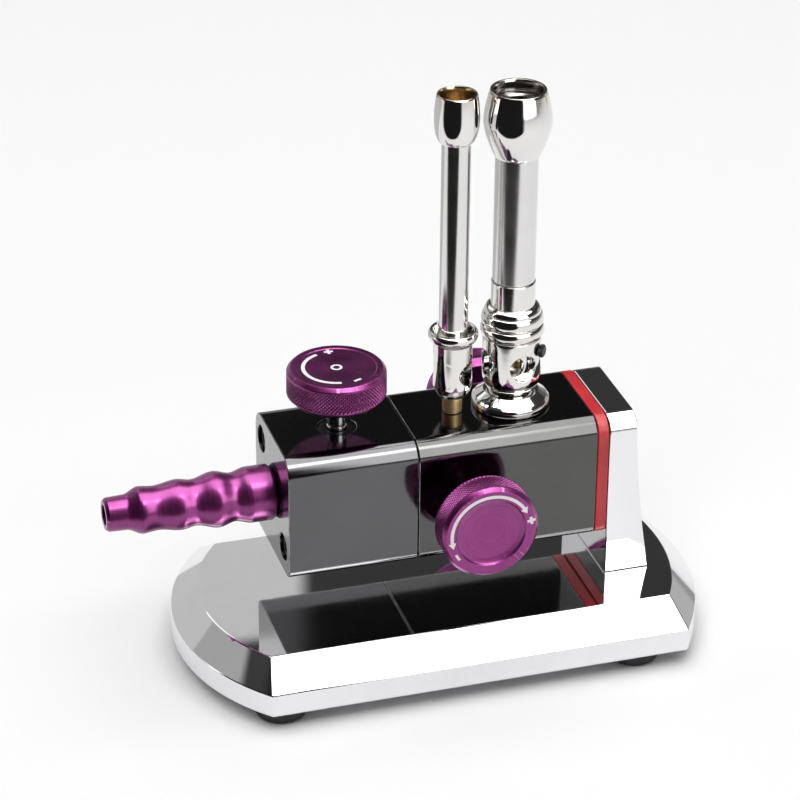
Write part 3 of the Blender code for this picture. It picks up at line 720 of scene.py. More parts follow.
def make_base():
    levels = [
        (FOOT_Z, base_outline(0.35, 0.35, SAG_L, SAG_R)),
        (FOOT_Z + 0.35, base_outline(0, 0, SAG_L, SAG_R)),
        (RIM_Z, base_outline(0, 0, SAG_L, SAG_R)),
        (TOP_Z, base_outline(8.8, 2.1, 10.5, 7.2)),
    ]
    verts, faces = [], []
    n = len(levels[0][1])
    for z, ring in levels:
        verts += [(x * K, y * K, z * K) for x, y in ring]
    for i in range(len(levels) - 1):
        for j in range(n):
            k = (j + 1) % n
            faces.append((i * n + j, i * n + k, (i + 1) * n + k, (i + 1) * n + j))
    faces.append(tuple(range(n))[::-1])
    faces.append(tuple(range((len(levels) - 1) * n, len(levels) * n)))
    obj = link("base_plate_fine", mesh_from("base_plate_fine", verts, faces, angle=20))
    tools = []
    for node in ("foot_screw_front_left", "foot_screw_front_right", "foot_screw_back_left", "foot_screw_back_right"):
        c = mid(node)
        tools.append(drill("t", 1.7, (c.x, c.y, FOOT_Z - 1), (c.x, c.y, 11.3), 32))
    for node in ("column_screw_front", "column_screw_back"):
        c = mid(node)
        tools.append(drill("t", 4.5, (c.x, c.y, FOOT_Z - 1), (c.x, c.y, 9.5), 48))
    carve(obj, *tools)
    bevelled(obj, 0.28, 3, 18)
    weighted(obj)
    return dress(obj, "base_chrome", "base_chrome", "torch_frame", "base_plate")


make_base()

# ------------------------------------------------------------------ feet and screws
for spot in ("front_left", "front_right", "back_left", "back_right"):
    c = mid("foot_" + spot)
    top = hi("foot_" + spot).z
    o = turned("rubber_foot_" + spot,
               [(7.3, top, 0.15), (7.3, 2.9, 0.5), (6.5, 0.8, 0.5), (5.5, 0.0, 0.3), (3.7, 0.0, 0.25), (3.5, 2.2, 0.2), (1.9, 2.2, 0.1), (1.9, top, 0.1)],
               (c.x, c.y, 0), UP, 72, True)
    dress(o, "rubber", "foot_rubber", "torch_frame", "foot_" + spot)


def hex_tool(name, across, origin, direction, depth, spin=0.0):
    r = across / 2 / math.cos(math.pi / 6)
    return cutter(name, [(0, depth), (r * 0.05, depth), (r, depth * 0.86), (r, -1.0), (0, -1.0)], origin, direction, 6, spin)


def screw(name, nodes, profile, origin, direction, look, slot, hexagon=None, body="torch_frame", knurl=False, seg=64):
    """A socket screw: a turned profile with a hexagon driven into its head."""
    o = turned(name, profile, origin, direction, seg, False, 0.12)
    if hexagon:
        across, head, depth = hexagon
        at = Vector(origin) + Vector(direction) * head
        carve(o, hex_tool("hex", across, at, tuple(-Vector(direction)), depth))
        weighted(o)
    return dress(o, look, slot, body, *nodes)


for spot in ("front_left", "front_right", "back_left", "back_right"):
    c = mid("foot_screw_" + spot)
    screw("pan_screw_" + spot, ["foot_screw_" + spot],
          [(0, -11.0), (1.5, -11.0), (1.5, -2.05), (3.1, -2.05, 0.1), (3.1, -1.5, 0.3), (2.3, -0.75, 0.4), (0, -0.6)],
          (c.x, c.y, 0), (0, 0, -1), "zinc", "plated_steel", None)
for side in ("front", "back"):
    c = mid("column_screw_" + side)
    screw("column_socket_screw_" + side, ["column_screw_" + side],
          [(0, -30.0), (2.4, -30.0), (2.4, -9.2), (4.2, -9.2, 0.2), (4.2, -4.8, 0.35), (0, -4.8)],
          (c.x, c.y, 0), (0, 0, -1), "zinc", "plated_steel", (4.0, -4.8, 2.2))

# ------------------------------------------------------------------ column
FLARE_A, FLARE_B = 0.047, 0.00183
COL_X, COL_FOOT = lo("column").x, lo("column").z
COL_TOP_W = 7.4


def flare_x(z):
    d = max(0.0, ZT - 6.0 - z)
    return COL_X + COL_TOP_W + FLARE_A * d + FLARE_B * d * d


def make_column():
    zs = [ZT - 6.0 - (ZT - 6.0 - COL_FOOT) * i / 40 for i in range(41)]
    outline = [(COL_X, COL_FOOT), (COL_X, ZT), (COL_X + COL_TOP_W, ZT)] + [(flare_x(z), z) for z in zs]
    n = len(outline)
    verts = [(x * K, Y_FRONT * K, z * K) for x, z in outline] + [(x * K, Y_BACK * K, z * K) for x, z in outline]
    faces = [tuple(range(n)), tuple(range(2 * n - 1, n - 1, -1))]
    faces += [(i, (i + 1) % n, n + (i + 1) % n, n + i) for i in range(n)]
    mesh = mesh_from("column_fine", verts, faces)
    bm = bmesh.new()
    bm.from_mesh(mesh)
    bm.edges.ensure_lookup_table()
    picked = [e for e in bm.edges if all(abs(v.co.z - ZT * K) < 1e-7 for v in e.verts)
              and abs(e.verts[0].co.y - e.verts[1].co.y) < 1e-7]
    bmesh.ops.bevel(bm, geom=picked, offset=5.0 * K, segments=22, profile=0.5, affect="EDGES", clamp_overlap=False)
    bmesh.ops.recalc_face_normals(bm, faces=bm.faces)
    bm.to_mesh(mesh)
    bm.free()
    mesh.shade_smooth()
    mesh.set_sharp_from_angle(angle=math.radians(30))
    obj = link("column_fine", mesh)
    tools = []
    for tag in ("upper", "lower"):
        c = mid("column_bolt_" + tag)
        seat = flare_x(c.z) - 0.8 - 4.0
        tools.append(drill("t", 3.55, (seat, c.y, c.z), (COL_X + 22, c.y, c.z), 56))
    carve(obj, *tools)
    bevelled(obj, 0.3, 3, 28)
    weighted(obj)
    return dress(obj, "column_chrome", "column_chrome", "torch_frame", "column")


make_column()
for tag in ("upper", "lower"):
    c = mid("column_bolt_" + tag)
    head = hi("column_bolt_" + tag).x
    tip = lo("column_bolt_" + tag).x
    screw("socket_bolt_column_" + tag, ["column_bolt_" + tag],
          [(0, 0), (1.95, 0), (1.95, head - 3.7 - tip), (3.3, head - 3.7 - tip, 0.15), (3.3, head - tip, 0.4), (0, head - tip)],
          (tip, c.y, c.z), RIGHT, "black_steel", "black_steel", (3.0, head - tip, 1.9))


# ------------------------------------------------------------------ body blocks and spacer
def section(bottom=None, r_bottom=2.6, grow=0.0):
    top, low = ZT + grow, (ZB if bottom is None else bottom) - grow
    h = HALF_W + grow
    r = 5.0
    pts = []
    pts += arc(YB - h + r_bottom, low + r_bottom, r_bottom, 180, 270, 12)
    pts += arc(YB + h - r_bottom, low + r_bottom, r_bottom, 270, 360, 12)
    pts += arc(YB + h - r, top - r, r, 0, 90, 24)
    pts += arc(YB - h + r, top - r, r, 90, 180, 24)
    return pts


def make_blocks():
    vb = prism_x("valve_block_fine", section(), X0, X_SPLIT_L)
    tools = [drill("t", 4.5, (X0 - 2, YB, Z_BARB), (X0 + 9, YB, Z_BARB)),
             drill("t", 4.9, (X_SHUT, YB, ZT + 2), (X_SHUT, YB, ZT - 8))]
    for tag in ("upper", "lower"):
        c = mid("tie_bolt_" + tag)
        tools.append(drill("t", 3.55, (X0 - 2, c.y, c.z), (X0 + 4.9, c.y, c.z)))
    carve(vb, *tools)
    bevelled(vb, 0.22, 3, 30)
    weighted(vb)
    dress(vb, "black_left", "black_anodised", "torch_frame", "valve_block")

    bb = prism_x("burner_block_fine", section(), X_SPLIT_R, X_END)
    tools = [drill("t", 2.2, (X_PILOT, YB, ZT + 2), (X_PILOT, YB, ZT - 5)),
             drill("t", 2.9, (X_MAIN, YB, ZT + 2), (X_MAIN, YB, ZT - 5)),
             drill("t", 4.9, (X_PILOT, Y_FRONT - 2, Z_PILOT), (X_PILOT, Y_FRONT + 5, Z_PILOT)),
             drill("t", 4.9, (X_MAIN, Y_BACK + 2, Z_MAIN), (X_MAIN, Y_BACK - 5, Z_MAIN))]
    carve(bb, *tools)
    bevelled(bb, 0.22, 3, 30)
    weighted(bb)
    dress(bb, "black_right", "black_anodised", "torch_frame", "burner_block")

    sp = prism_x("heat_spacer_fine", section(), lo("red_spacer").x, hi("red_spacer").x)
    bevelled(sp, 0.3, 4, 30)
    weighted(sp)
    dress(sp, "red", "red_spacer", "torch_frame", "red_spacer")


make_blocks()
for tag in ("upper", "lower"):
    c = mid("tie_bolt_" + tag)
    head = lo("tie_bolt_" + tag).x
    screw("socket_bolt_tie_" + tag, ["tie_bolt_" + tag],
          [(0, -41.7), (1.95, -41.7), (1.95, -3.7), (3.3, -3.7, 0.15), (3.3, 0, 0.4), (0, 0)],
          (head, c.y, c.z), LEFT, "black_steel", "black_steel", (3.0, 0.0, 1.9))

# ------------------------------------------------------------------ hose barb
STATIONS = ((0.2, 6.5), (1.0, 7.1), (6.2, 7.1), (10.3, 6.15), (14.6, 7.1), (20.4, 5.85), (24.0, 6.4),
            (30.0, 5.6), (33.8, 5.95), (37.8, 4.45), (42.2, 4.3), (43.0, 3.7))
outer = list(reversed(swell(STATIONS, 14)))
o = turned("hose_barb_fine", outer + [(4.2, 0.2), (4.2, -7.8), (2.6, -7.8), (2.6, 43.0)], (X0, YB, Z_BARB), LEFT, 144, True, 0.18)
dress(o, "purple_barb", "purple_anodised", "torch_frame", "hose_barb")


# ------------------------------------------------------------------ knobs
KR, KH = 12.5, 8.5
TEETH, SUB = 80, 8


def knob(tag, origin, direction, spin, dish, body):
    """Diamond-knurled dial with a turned, dished face. Heights run outwards from its inner face."""
    face = [(0.0, KH - dish)]
    if dish > 0.4:
        face += [(7.4, KH - dish + 0.06, 1.5), (8.75, KH - dish * 0.45, 0.6), (9.15, KH, 0.14)]
    else:
        face += [(9.9, KH - dish, 0.1), (10.1, KH, 0.1)]
    face += [(KR - 0.95, KH, 0.18), (KR - 0.12, KH - 0.85, 0.2)]
    low, high = 1.75, KH - 1.25
    rows = 46
    side_top, side_low = (KR - 0.05, high + 0.15), (KR - 0.05, low - 0.15)
    under = [side_low, (KR - 1.55, 0.0, 0.2), (4.2, 0.0, 0.1), (4.0, -0.0, 0.1), (2.62, 0.0, 0.1), (2.62, 5.2), (0.0, 5.2)]
    top_pts = fillet(face + [side_top], 0.0, closed=False, step=12)
    low_pts = fillet(under, 0.0, closed=False, step=12)
    band = [(KR, high - (high - low) * i / rows) for i in range(rows + 1)]
    profile = top_pts + band + low_pts
    seg = TEETH * SUB
    ang = np.arange(seg) * 2 * math.pi / seg
    verts, faces = spun(profile, seg, False)
    v = np.array(verts)
    n0, n1 = len(top_pts), len(top_pts) + len(band)
    pitch = 2 * math.pi * KR / TEETH
    for i in range(n0, n1):
        h = profile[i][1]
        p = (ang * KR + h) / pitch
        q = (ang * KR - h) / pitch
        ridge = 1 - np.maximum(np.abs(2 * (p % 1) - 1), np.abs(2 * (q % 1) - 1))
        ridge = np.minimum(ridge * 1.9, 1.0)
        fade = min(1.0, (h - low) / 0.35, (high - h) / 0.35)
        rad = (KR - 0.02 - 0.36 * (1 - ridge) * max(fade, 0)) * K
        v[i * seg:(i + 1) * seg, 0] = rad * np.cos(ang)
        v[i * seg:(i + 1) * seg, 1] = rad * np.sin(ang)
    obj = link(tag + "_knob_fine", mesh_from(tag + "_knob_fine", v, faces, angle=50), axis_matrix(origin, direction, 0))
    # grub screw hole in the rim
    m = axis_matrix(origin, direction, spin)
    a = m @ Vector((8 * K, 0, 3.0 * K)) / K
    b = m @ Vector((16 * K, 0, 3.0 * K)) / K
    if tag != "shutoff":
        carve(obj, drill("t", 1.5, a, b, 32))
    weighted(obj)
    dress(obj, "purple_knob", "purple_anodised", body, tag + "_knob")
    start = m @ Vector((2.75 * K, 0, 3.0 * K)) / K
    way = tuple((m.to_3x3() @ Vector((1, 0, 0))).normalized())
    screw(tag + "_grub_screw_fine", [tag + "_grub_screw"],
          [(0, 0), (0.8, 0), (1.3, 0.5), (1.3, 7.4, 0.15), (0, 7.4)], start, way, "black_steel", "black_steel",
          (1.3, 7.4, 1.2), body, seg=40)
    return obj


def flat_print(name, shapes, origin, direction, height, body, thick=0.05):
    """Printed marks: flat outlines (mm, in the face's plane) with a slight thickness."""
    verts, faces = [], []
    for outline in shapes:
        n = len(outline)
        b = len(verts)
        verts += [(x * K, y * K, height * K) for x, y in outline]
        verts += [(x * K, y * K, (height + thick) * K) for x, y in outline]
        faces.append(tuple(range(b + n - 1, b - 1, -1)))
        faces.append(tuple(range(b + n, b + 2 * n)))
        faces += [(b + i, b + (i + 1) % n, b + n + (i + 1) % n, b + n + i) for i in range(n)]
    mesh = bpy.data.meshes.new(name)
    mesh.from_pydata(verts, [], faces)
    bm = bmesh.new()
    bm.from_mesh(mesh)
    bmesh.ops.recalc_face_normals(bm, faces=bm.faces)
    bmesh.ops.triangulate(bm, faces=[f for f in bm.faces if len(f.verts) > 4])
    bm.to_mesh(mesh)
    bm.free()
    obj = link(name, mesh, axis_matrix(origin, direction, 0))
    return dress(obj, "print", "purple_anodised", body)


def arc_band(r, a0, a1, w, steps=64):
    return arc(0, 0, r + w / 2, a0, a1, steps) + arc(0, 0, r - w / 2, a1, a0, steps)


def arrow(r, ang, way, length=1.7, width=2.0):
    """A triangle on the arc of radius r, pointing the way the angle grows (way 1) or falls."""
    a = math.radians(ang)
    c = np.array((r * math.cos(a), r * math.sin(a)))
    radial = np.array((math.cos(a), math.sin(a)))
    tang = np.array((-math.sin(a), math.cos(a))) * way
    tip = c + tang * length - radial * (length * length / (2 * r))
    return [tuple(tip), tuple(c + radial * width / 2), tuple(c - radial * width / 2)]


def bar(r, ang, length, width, turn=0.0):
    a = math.radians(ang)
    t = a + math.radians(turn)
    c = np.array((r * math.cos(a), r * math.sin(a)))
    u = np.array((math.cos(t), math.sin(t))) * length / 2
    w = np.array((-math.sin(t), math.cos(t))) * width / 2
    return [tuple(c + u + w), tuple(c - u + w), tuple(c - u - w), tuple(c + u - w)]


def plus(r, ang, length, width):
    a = math.radians(ang)
    c = np.array((r * math.cos(a), r * math.sin(a)))
    u, w = np.array((math.cos(a), math.sin(a))), np.array((-math.sin(a), math.cos(a)))
    p, q = length / 2, width / 2
    steps = ((q, q), (q, p), (-q, p), (-q, q), (-p, q), (-p, -q), (-q, -q), (-q, -p), (q, -p), (q, -q), (p, -q), (p, q))
    return [tuple(c + u * i + w * j) for i, j in steps]


def ring_mark(r, ang, outer_r, inner_r, steps=28):
    a = math.radians(ang)
    cx, cy = r * math.cos(a), r * math.sin(a)
    shapes = []
    for i in range(steps):
        p, q = 360 * i / steps, 360 * (i + 1) / steps
        shapes.append([(cx + outer_r * math.cos(math.radians(p)), cy + outer_r * math.sin(math.radians(p))),
                       (cx + outer_r * math.cos(math.radians(q)), cy + outer_r * math.sin(math.radians(q))),
                       (cx + inner_r * math.cos(math.radians(q)), cy + inner_r * math.sin(math.radians(q))),
                       (cx + inner_r * math.cos(math.radians(p)), cy + inner_r * math.sin(math.radians(p)))])
    return shapes


KNOB_GAP = 8.2
PLACES = {
    "shutoff": ((X_SHUT, YB, ZT), UP),
    "pilot": ((X_PILOT, Y_FRONT, Z_PILOT), FRONT),
    "main": ((X_MAIN, Y_BACK, Z_MAIN), BACK),
}
for tag, (spot, way) in PLACES.items():
    body = tag + "_dial"
    at = Vector(spot) + Vector(way) * KNOB_GAP
    out = mid(tag + "_grub_screw") - at
    out -= Vector(way) * out.dot(Vector(way))
    turned_out = axis_matrix(at, way).to_3x3().inverted() @ out
    spin = math.degrees(math.atan2(turned_out.y, turned_out.x))
    knob(tag, at, way, spin, 0.18 if tag == "shutoff" else 0.95, body)
    # stem with a groove under the knob and a slim collar at the gland
    turned_stem = turned(tag + "_stem_fine",
                         [(0, KNOB_GAP + 5.0), (2.2, KNOB_GAP + 5.0, 0.1), (2.5, KNOB_GAP + 4.7), (2.5, 1.3, 0.1), (2.25, 1.1, 0.1),
                          (2.25, 0.7, 0.1), (2.5, 0.5, 0.1), (2.5, -5.0), (0, -5.0)],
                         spot, way, 72, False, 0.05)
    dress(turned_stem, "steel", "stem_steel", body, tag + "_stem")
    gland = turned(tag + "_gland_fine", [(4.7, -0.3, 0.25), (4.7, -4.6), (2.6, -4.6), (2.6, -0.3, 0.3)], spot, way, 96, True, 0.05)
    dress(gland, "black_steel", "stem_steel", "torch_frame", tag + "_gland")

# marks on the dials: local angles are world angles for the top dial (X right, Y back)
top_face = Vector(PLACES["shutoff"][0]) + Vector(UP) * KNOB_GAP
m_top = axis_matrix(top_face, UP)


def local_angle(matrix, world_vec):
    v = matrix.to_3x3().inverted() @ Vector(world_vec)
    return math.degrees(math.atan2(v.y, v.x))


def in_face(matrix, right, up, ang):
    """Local angle of a direction given by its angle from `right` towards `up`."""
    a = math.radians(ang)
    return local_angle(matrix, Vector(right) * math.cos(a) + Vector(up) * math.sin(a))


cam_right = Vector((math.cos(math.radians(-17.2)), math.sin(math.radians(-17.2)), 0))
cam_ahead = Vector((0, 0, 1)).cross(cam_right)
base0 = in_face(m_top, cam_right, cam_ahead, 0)
shapes = [arc_band(8.3, base0 + 128, base0 + 280, 0.95)]
shapes += [plus(8.6, base0 + 105, 2.3, 0.8)]
shapes += [bar(8.5, base0 + 309, 2.1, 0.75, 90)]
shapes += ring_mark(0.0, 0.0, 1.5, 0.85)
flat_print("shutoff_dial_marks", shapes, top_face, UP, KH - 0.18 - 0.01, "shutoff_dial")

for tag, right in (("pilot", (1, 0, 0)), ("main", (-1, 0, 0))):
    spot, way = PLACES[tag]
    face = Vector(spot) + Vector(way) * KNOB_GAP
    m = axis_matrix(face, way)
    z0 = in_face(m, right, (0, 0, 1), 0)
    sgn = 1 if abs(((in_face(m, right, (0, 0, 1), 90) - z0 + 180) % 360 - 180) - 90) < 1 else -1
    shapes = [arc_band(10.15, z0 + sgn * 34, z0 + sgn * 188, 0.85)]
    shapes += [arrow(10.15, z0 + sgn * 34, -sgn), arrow(10.15, z0 + sgn * 188, sgn)]
    shapes += [plus(10.55, z0 + sgn * 11, 2.1, 0.75)]
    shapes += [bar(10.2, z0 + sgn * 213, 1.9, 0.65, 90)]
    flat_print(tag + "_dial_marks", shapes, face, way, KH - 0.01, tag + "_dial")

# ------------------------------------------------------------------ pilot burner
P = (X_PILOT, YB, ZT)
o = turned("pilot_jet_fine",
           [(1.2, 6.6), (1.7, 6.2), (1.7, 4.0), (2.5, 4.0, 0.2), (2.5, 0.2, 0.15), (2.0, 0.2), (2.0, -5.0), (0.5, -5.0), (0.5, 6.6)],
           P, UP, 72, True, 0.06)
dress(o, "brass", "brass", "torch_frame", "pilot_jet")

low_prof = fillet([(4.9, 7.9), (4.9, 7.5, 0.4), (4.45, 6.1, 1.5), (3.6, 4.8, 0.6), (2.9, 4.2, 0.25), (1.9, 4.2, 0.1), (1.9, 6.6, 0.1), (3.1, 7.4, 0.1), (3.1, 7.9)], 0.1, closed=False)
bead = spline([(4.9, 19.3), (5.3, 20.05), (5.95, 20.5), (6.3, 21.3), (6.25, 22.2), (5.8, 22.8), (5.25, 22.7), (4.95, 22.1), (4.5, 21.2), (3.85, 20.4)], 6)
high_prof = [(3.1, 15.6), (3.1, 16.8), (3.75, 16.8), (3.75, 20.2)] + bead[::-1] + [(4.9, 15.6)]
pilot_body = windowed("pilot_air_body_fine", low_prof, high_prof, 4.9, 3.1, (7.9, 15.6), (11.6, 3.1), 2, 42.0, P, seg=160, rows=26, edge=0.13)
dress(pilot_body, "nickel", "burner_nickel", "torch_frame", "pilot_air_body")

o = turned("pilot_tube_fine", [(3.65, 76.0, 0.1), (3.65, 17.2, 0.1), (3.0, 17.2), (3.0, 76.0)], P, UP, 128, True, 0.05)
dress(o, "nickel_tube", "burner_nickel", "torch_frame", "pilot_tube")

tip_out = spline([(5.08, 85.8), (5.38, 83.6), (5.57, 81.2), (5.58, 79.0), (5.45, 77.2), (5.2, 75.75), (4.75, 74.45), (4.25, 73.75), (3.85, 73.5)], 8)
o = turned("pilot_tip_fine",
           [(4.5, 86.1, 0.12), (4.85, 86.1, 0.12)] + tip_out + [(3.7, 73.5), (3.7, 76.2), (3.2, 76.2), (3.2, 76.6), (4.2, 77.6, 0.3), (4.3, 85.3, 0.3)],
           P, UP, 144, True, 0.06)
dress(o, "tip_pilot", "burner_nickel", "torch_frame", "pilot_tip")

# ------------------------------------------------------------------ main burner
Q = (X_MAIN, YB, ZT)
o = turned("main_jet_fine",
           [(1.4, 8.4), (2.2, 7.8), (2.2, 3.4), (3.6, 3.4), (3.6, 0.2), (2.7, 0.2), (2.7, -5.0), (0.7, -5.0), (0.7, 8.4)],
           Q, UP, 64, True, 0.06)
dress(o, "brass", "brass", "torch_frame", "main_jet")

o = turned("main_flange_fine",
           [(7.0, 4.2, 0.25), (7.9, 3.55, 3.0), (9.15, 2.75, 0.35), (9.8, 2.15, 0.6), (10.0, 1.5, 0.5), (10.0, 0.7, 0.3), (9.75, 0.2, 0.1), (4.0, 0.2), (4.0, 4.2)],
           Q, UP, 180, True, 0.05, step=8)
dress(o, "nickel", "burner_nickel", "torch_frame", "main_flange")

low_prof = fillet([(5.6, 9.4), (5.6, 4.9, 0.2), (5.3, 4.4, 0.1), (2.5, 4.4), (2.5, 6.6), (4.4, 7.6), (4.4, 9.4)], 0.08, closed=False)
high_prof = fillet([(4.4, 16.2), (4.4, 29.6), (4.9, 29.6), (4.9, 34.6), (5.45, 34.6, 0.1), (5.6, 34.4, 0.1), (5.6, 16.2)], 0.08, closed=False)
mixer = windowed("main_mixer_body_fine", low_prof, high_prof, 5.6, 4.4, (9.4, 16.2), (12.8, 2.7), 4, -13.0, Q, seg=160, rows=22, edge=0.1)
dress(mixer, "nickel", "burner_nickel", "torch_frame", "main_mixer_body")

low_prof = fillet([(7.45, 8.6), (7.4, 8.0, 1.0), (7.15, 6.8, 1.5), (6.4, 5.4, 0.8), (6.0, 4.9, 0.15), (5.7, 4.9, 0.05), (5.7, 8.6)], 0.1, closed=False)
dome = spline([(6.15, 27.9), (6.65, 27.6), (7.05, 27.05), (7.18, 26.5), (7.12, 26.28)], 6) + spline([(7.16, 26.16), (7.48, 25.85), (7.78, 25.1), (7.89, 24.2), (7.74, 23.4), (7.3, 22.98)], 8)
ring = spline([(7.3, 22.86), (7.8, 22.45), (8.08, 21.6), (8.02, 20.7), (7.7, 20.0), (7.2, 19.72)], 8)
high_prof = [(5.7, 17.0), (5.7, 27.95), (5.8, 28.0), (6.0, 28.0)] + dome + ring + fillet([(7.15, 19.6), (7.42, 19.4, 0.15), (7.45, 18.6), (7.45, 17.0)], 0.05, closed=False)
sleeve = windowed("main_air_sleeve_fine", low_prof, high_prof, 7.45, 5.7, (8.6, 17.0), (12.8, 3.5), 4, 7.0, Q, seg=192, rows=24)
dress(sleeve, "nickel", "burner_nickel", "air_regulator", "main_air_sleeve")

ca = math.radians(48.0 - 90)
cw = Vector((math.cos(ca), math.sin(ca), 0))
cm = Vector(Q) + Vector((0, 0, 16.4)) + cw * 5.75


def knurled_screw(name, origin, direction, body):
    prof = fillet([(0.0, 3.1), (1.3, 3.1, 0.15), (1.7, 2.8, 0.1), (1.7, 2.1, 0.1), (1.4, 1.8, 0.05), (0.9, 1.8), (0.9, 0.0), (0, 0)], 0.05, closed=False)
    seg = 96
    verts, faces = spun(prof, seg, False)
    v = np.array(verts)
    rad = np.hypot(v[:, 0], v[:, 1])
    ang = np.arctan2(v[:, 1], v[:, 0])
    on = rad > 1.45 * K
    v[on, 0] *= (1 - 0.07 * (0.5 + 0.5 * np.cos(ang[on] * 24)))
    v[on, 1] *= (1 - 0.07 * (0.5 + 0.5 * np.cos(ang[on] * 24)))
    return link(name, mesh_from(name, v, faces), axis_matrix(origin, direction))


o = knurled_screw("main_clamp_screw_fine", cm, tuple(cw), "air_regulator")
weighted(o)
dress(o, "black_steel", "black_steel", "air_regulator", "main_clamp_screw")

o = turned("main_tube_fine", [(5.35, 71.0, 0.1), (5.35, 34.85, 0.15), (4.8, 34.85), (4.8, 30.0), (4.2, 30.0), (4.2, 71.0)], Q, UP, 144, True, 0.05)
dress(o, "nickel_satin", "burner_nickel", "torch_frame", "main_tube")

tip_out = spline([(7.15, 84.95), (7.7, 82.7), (8.22, 80.2), (8.47, 77.9), (8.3, 75.8), (7.7, 73.4), (6.85, 71.0), (6.1, 69.15), (5.65, 68.35)], 8)
o = turned("main_tip_fine",
           [(6.2, 85.5, 0.12), (6.85, 85.5, 0.15)] + tip_out + [(5.45, 68.3), (5.45, 71.3), (4.3, 71.3), (4.3, 72.3), (5.2, 73.7), (5.2, 79.7), (5.95, 79.7, 0.1), (5.95, 84.9, 0.25)],
           Q, UP, 160, True, 0.06)
dress(o, "tip_main", "burner_nickel", "torch_frame", "main_tip")
o = turned("main_flame_ring_fine", [(5.7, 82.5, 0.2), (5.7, 79.9), (3.9, 79.9, 0.1), (3.9, 82.0, 0.2), (4.4, 82.5, 0.15)], Q, UP, 128, True, 0.05)
dress(o, "tip_main", "burner_nickel", "torch_frame", "main_flame_ring")

# ------------------------------------------------------------------ CAD nodes that stay as they are
KEPT = {"body_face_seal": "rubber", "shutoff_stem_seal": "rubber", "pilot_stem_seal": "rubber", "main_stem_seal": "rubber",
        "shutoff_plug": "brass", "pilot_plug": "brass", "main_plug": "brass"}
for node, look in KEPT.items():
    NODES[node].data.materials.clear()
    NODES[node].data.materials.append(MATS[look].mat)

# ------------------------------------------------------------------ stage
def stage_plane(name, size, matrix, color, rough=0.9):
    bm = bmesh.new()
    bmesh.ops.create_grid(bm, x_segments=1, y_segments=1, size=0.5)
    mesh = bpy.data.meshes.new(name)
    bm.to_mesh(mesh)
    bm.free()
    obj = bpy.data.objects.new(name, mesh)
    scene.collection.objects.link(obj)
    obj.matrix_world = matrix @ Matrix.Diagonal((size[0], size[1], 1, 1))
    mat = bpy.data.materials.new(name)
    mat.use_nodes = True
    b = mat.node_tree.nodes["Principled BSDF"]
    b.inputs["Base Color"].default_value = (*color, 1)
    b.inputs["Roughness"].default_value = rough
    mesh.materials.append(mat)
    return obj


floor = stage_plane("floor", (6, 6), Matrix.Identity(4), (0.90, 0.90, 0.905), 0.9)


def facing(location, target):
    d = (Vector(target) - Vector(location)).normalized()
    return Matrix.Translation(location) @ (-d).to_track_quat("Z", "Y").to_matrix().to_4x4()


def polar_spot(azimuth, distance, height, centre=(0.02, 0.0)):
    a = math.radians(azimuth)
    return (centre[0] + math.sin(a) * distance, centre[1] - math.cos(a) * distance, height)


def softbox(name, location, target, size, radiance, color=(1, 1, 1)):
    data = bpy.data.lights.new(name, "AREA")
    data.shape = "RECTANGLE"
    data.size, data.size_y = size
    data.energy = radiance * math.pi * size[0] * size[1]
    data.color = color
    obj = bpy.data.objects.new(name, data)
    scene.collection.objects.link(obj)
    obj.matrix_world = facing(location, target)
    return obj


def fill_light(name, location, target, size, radiance, glossy=False):
    obj = softbox(name, location, target, size, radiance)
    obj.visible_glossy = glossy
    return obj


# Soft light for everything matt; polished pieces see the cards below instead.
fill_light("fill_above", (0.0, 0.1, 3.0), (0, 0.1, 0), (4.5, 4.5), 2.2)
fill_light("key_left", (-0.9, -1.1, 1.6), (0, 0, 0.05), (0.9, 0.9), 2.2)


def card(name, matrix, size, light, soft=(0.0, 0.0), curve=0.0, color=(1, 1, 1), sides=(1, 1)):
    """A studio card or flag that only reflections see. soft is the width of its blurred border
    (across, up), as a share of its size; curve bends its lower border into a U."""
    bm = bmesh.new()
    bmesh.ops.create_grid(bm, x_segments=1, y_segments=1, size=0.5)
    mesh = bpy.data.meshes.new(name)
    bm.to_mesh(mesh)
    bm.free()
    obj = bpy.data.objects.new(name, mesh)
    scene.collection.objects.link(obj)
    obj.matrix_world = matrix @ Matrix.Diagonal((size[0], size[1], 1, 1))
    m = Mat(name)
    m.t.nodes.remove(m.bsdf)
    glow = m.node("ShaderNodeEmission")
    glow.inputs[0].default_value = (*color, 1)
    glow.inputs[1].default_value = light
    clear = m.node("ShaderNodeBsdfTransparent")
    mixer_node = m.node("ShaderNodeMixShader")
    x, y, z = m.xyz()
    fade = 1.0
    ax = m.math("ABSOLUTE", x)
    if soft[0]:
        fade = m.remap(ax, 0.5 - soft[0], 0.5, 1.0, 0.0, True)
    if soft[1]:
        bend = m.math("MULTIPLY", m.math("POWER", m.math("MULTIPLY", ax, 2.0), 2.4), curve)
        up_from = m.math("SUBTRACT", m.math("ADD", y, 0.5), bend)
        rise = m.remap(up_from, 0.0, soft[1], 0.0, 1.0, True)
        drop = m.remap(y, 0.5 - soft[1], 0.5, 1.0, 0.0, True)
        fade = m.math("MULTIPLY", fade, m.math("MULTIPLY", rise, drop))
    m.put(mixer_node.inputs[0], fade)
    m.t.links.new(clear.outputs[0], mixer_node.inputs[1])
    m.t.links.new(glow.outputs[0], mixer_node.inputs[2])
    m.t.links.new(mixer_node.outputs[0], m.out.inputs[0])
    mesh.materials.append(m.mat)
    obj.visible_camera = False
    obj.visible_diffuse = False
    obj.visible_shadow = False
    obj.visible_transmission = False
    obj.visible_volume_scatter = False
    return obj


TUBES = (X_PILOT * 0.5 * K + X_MAIN * 0.5 * K, YB * K)


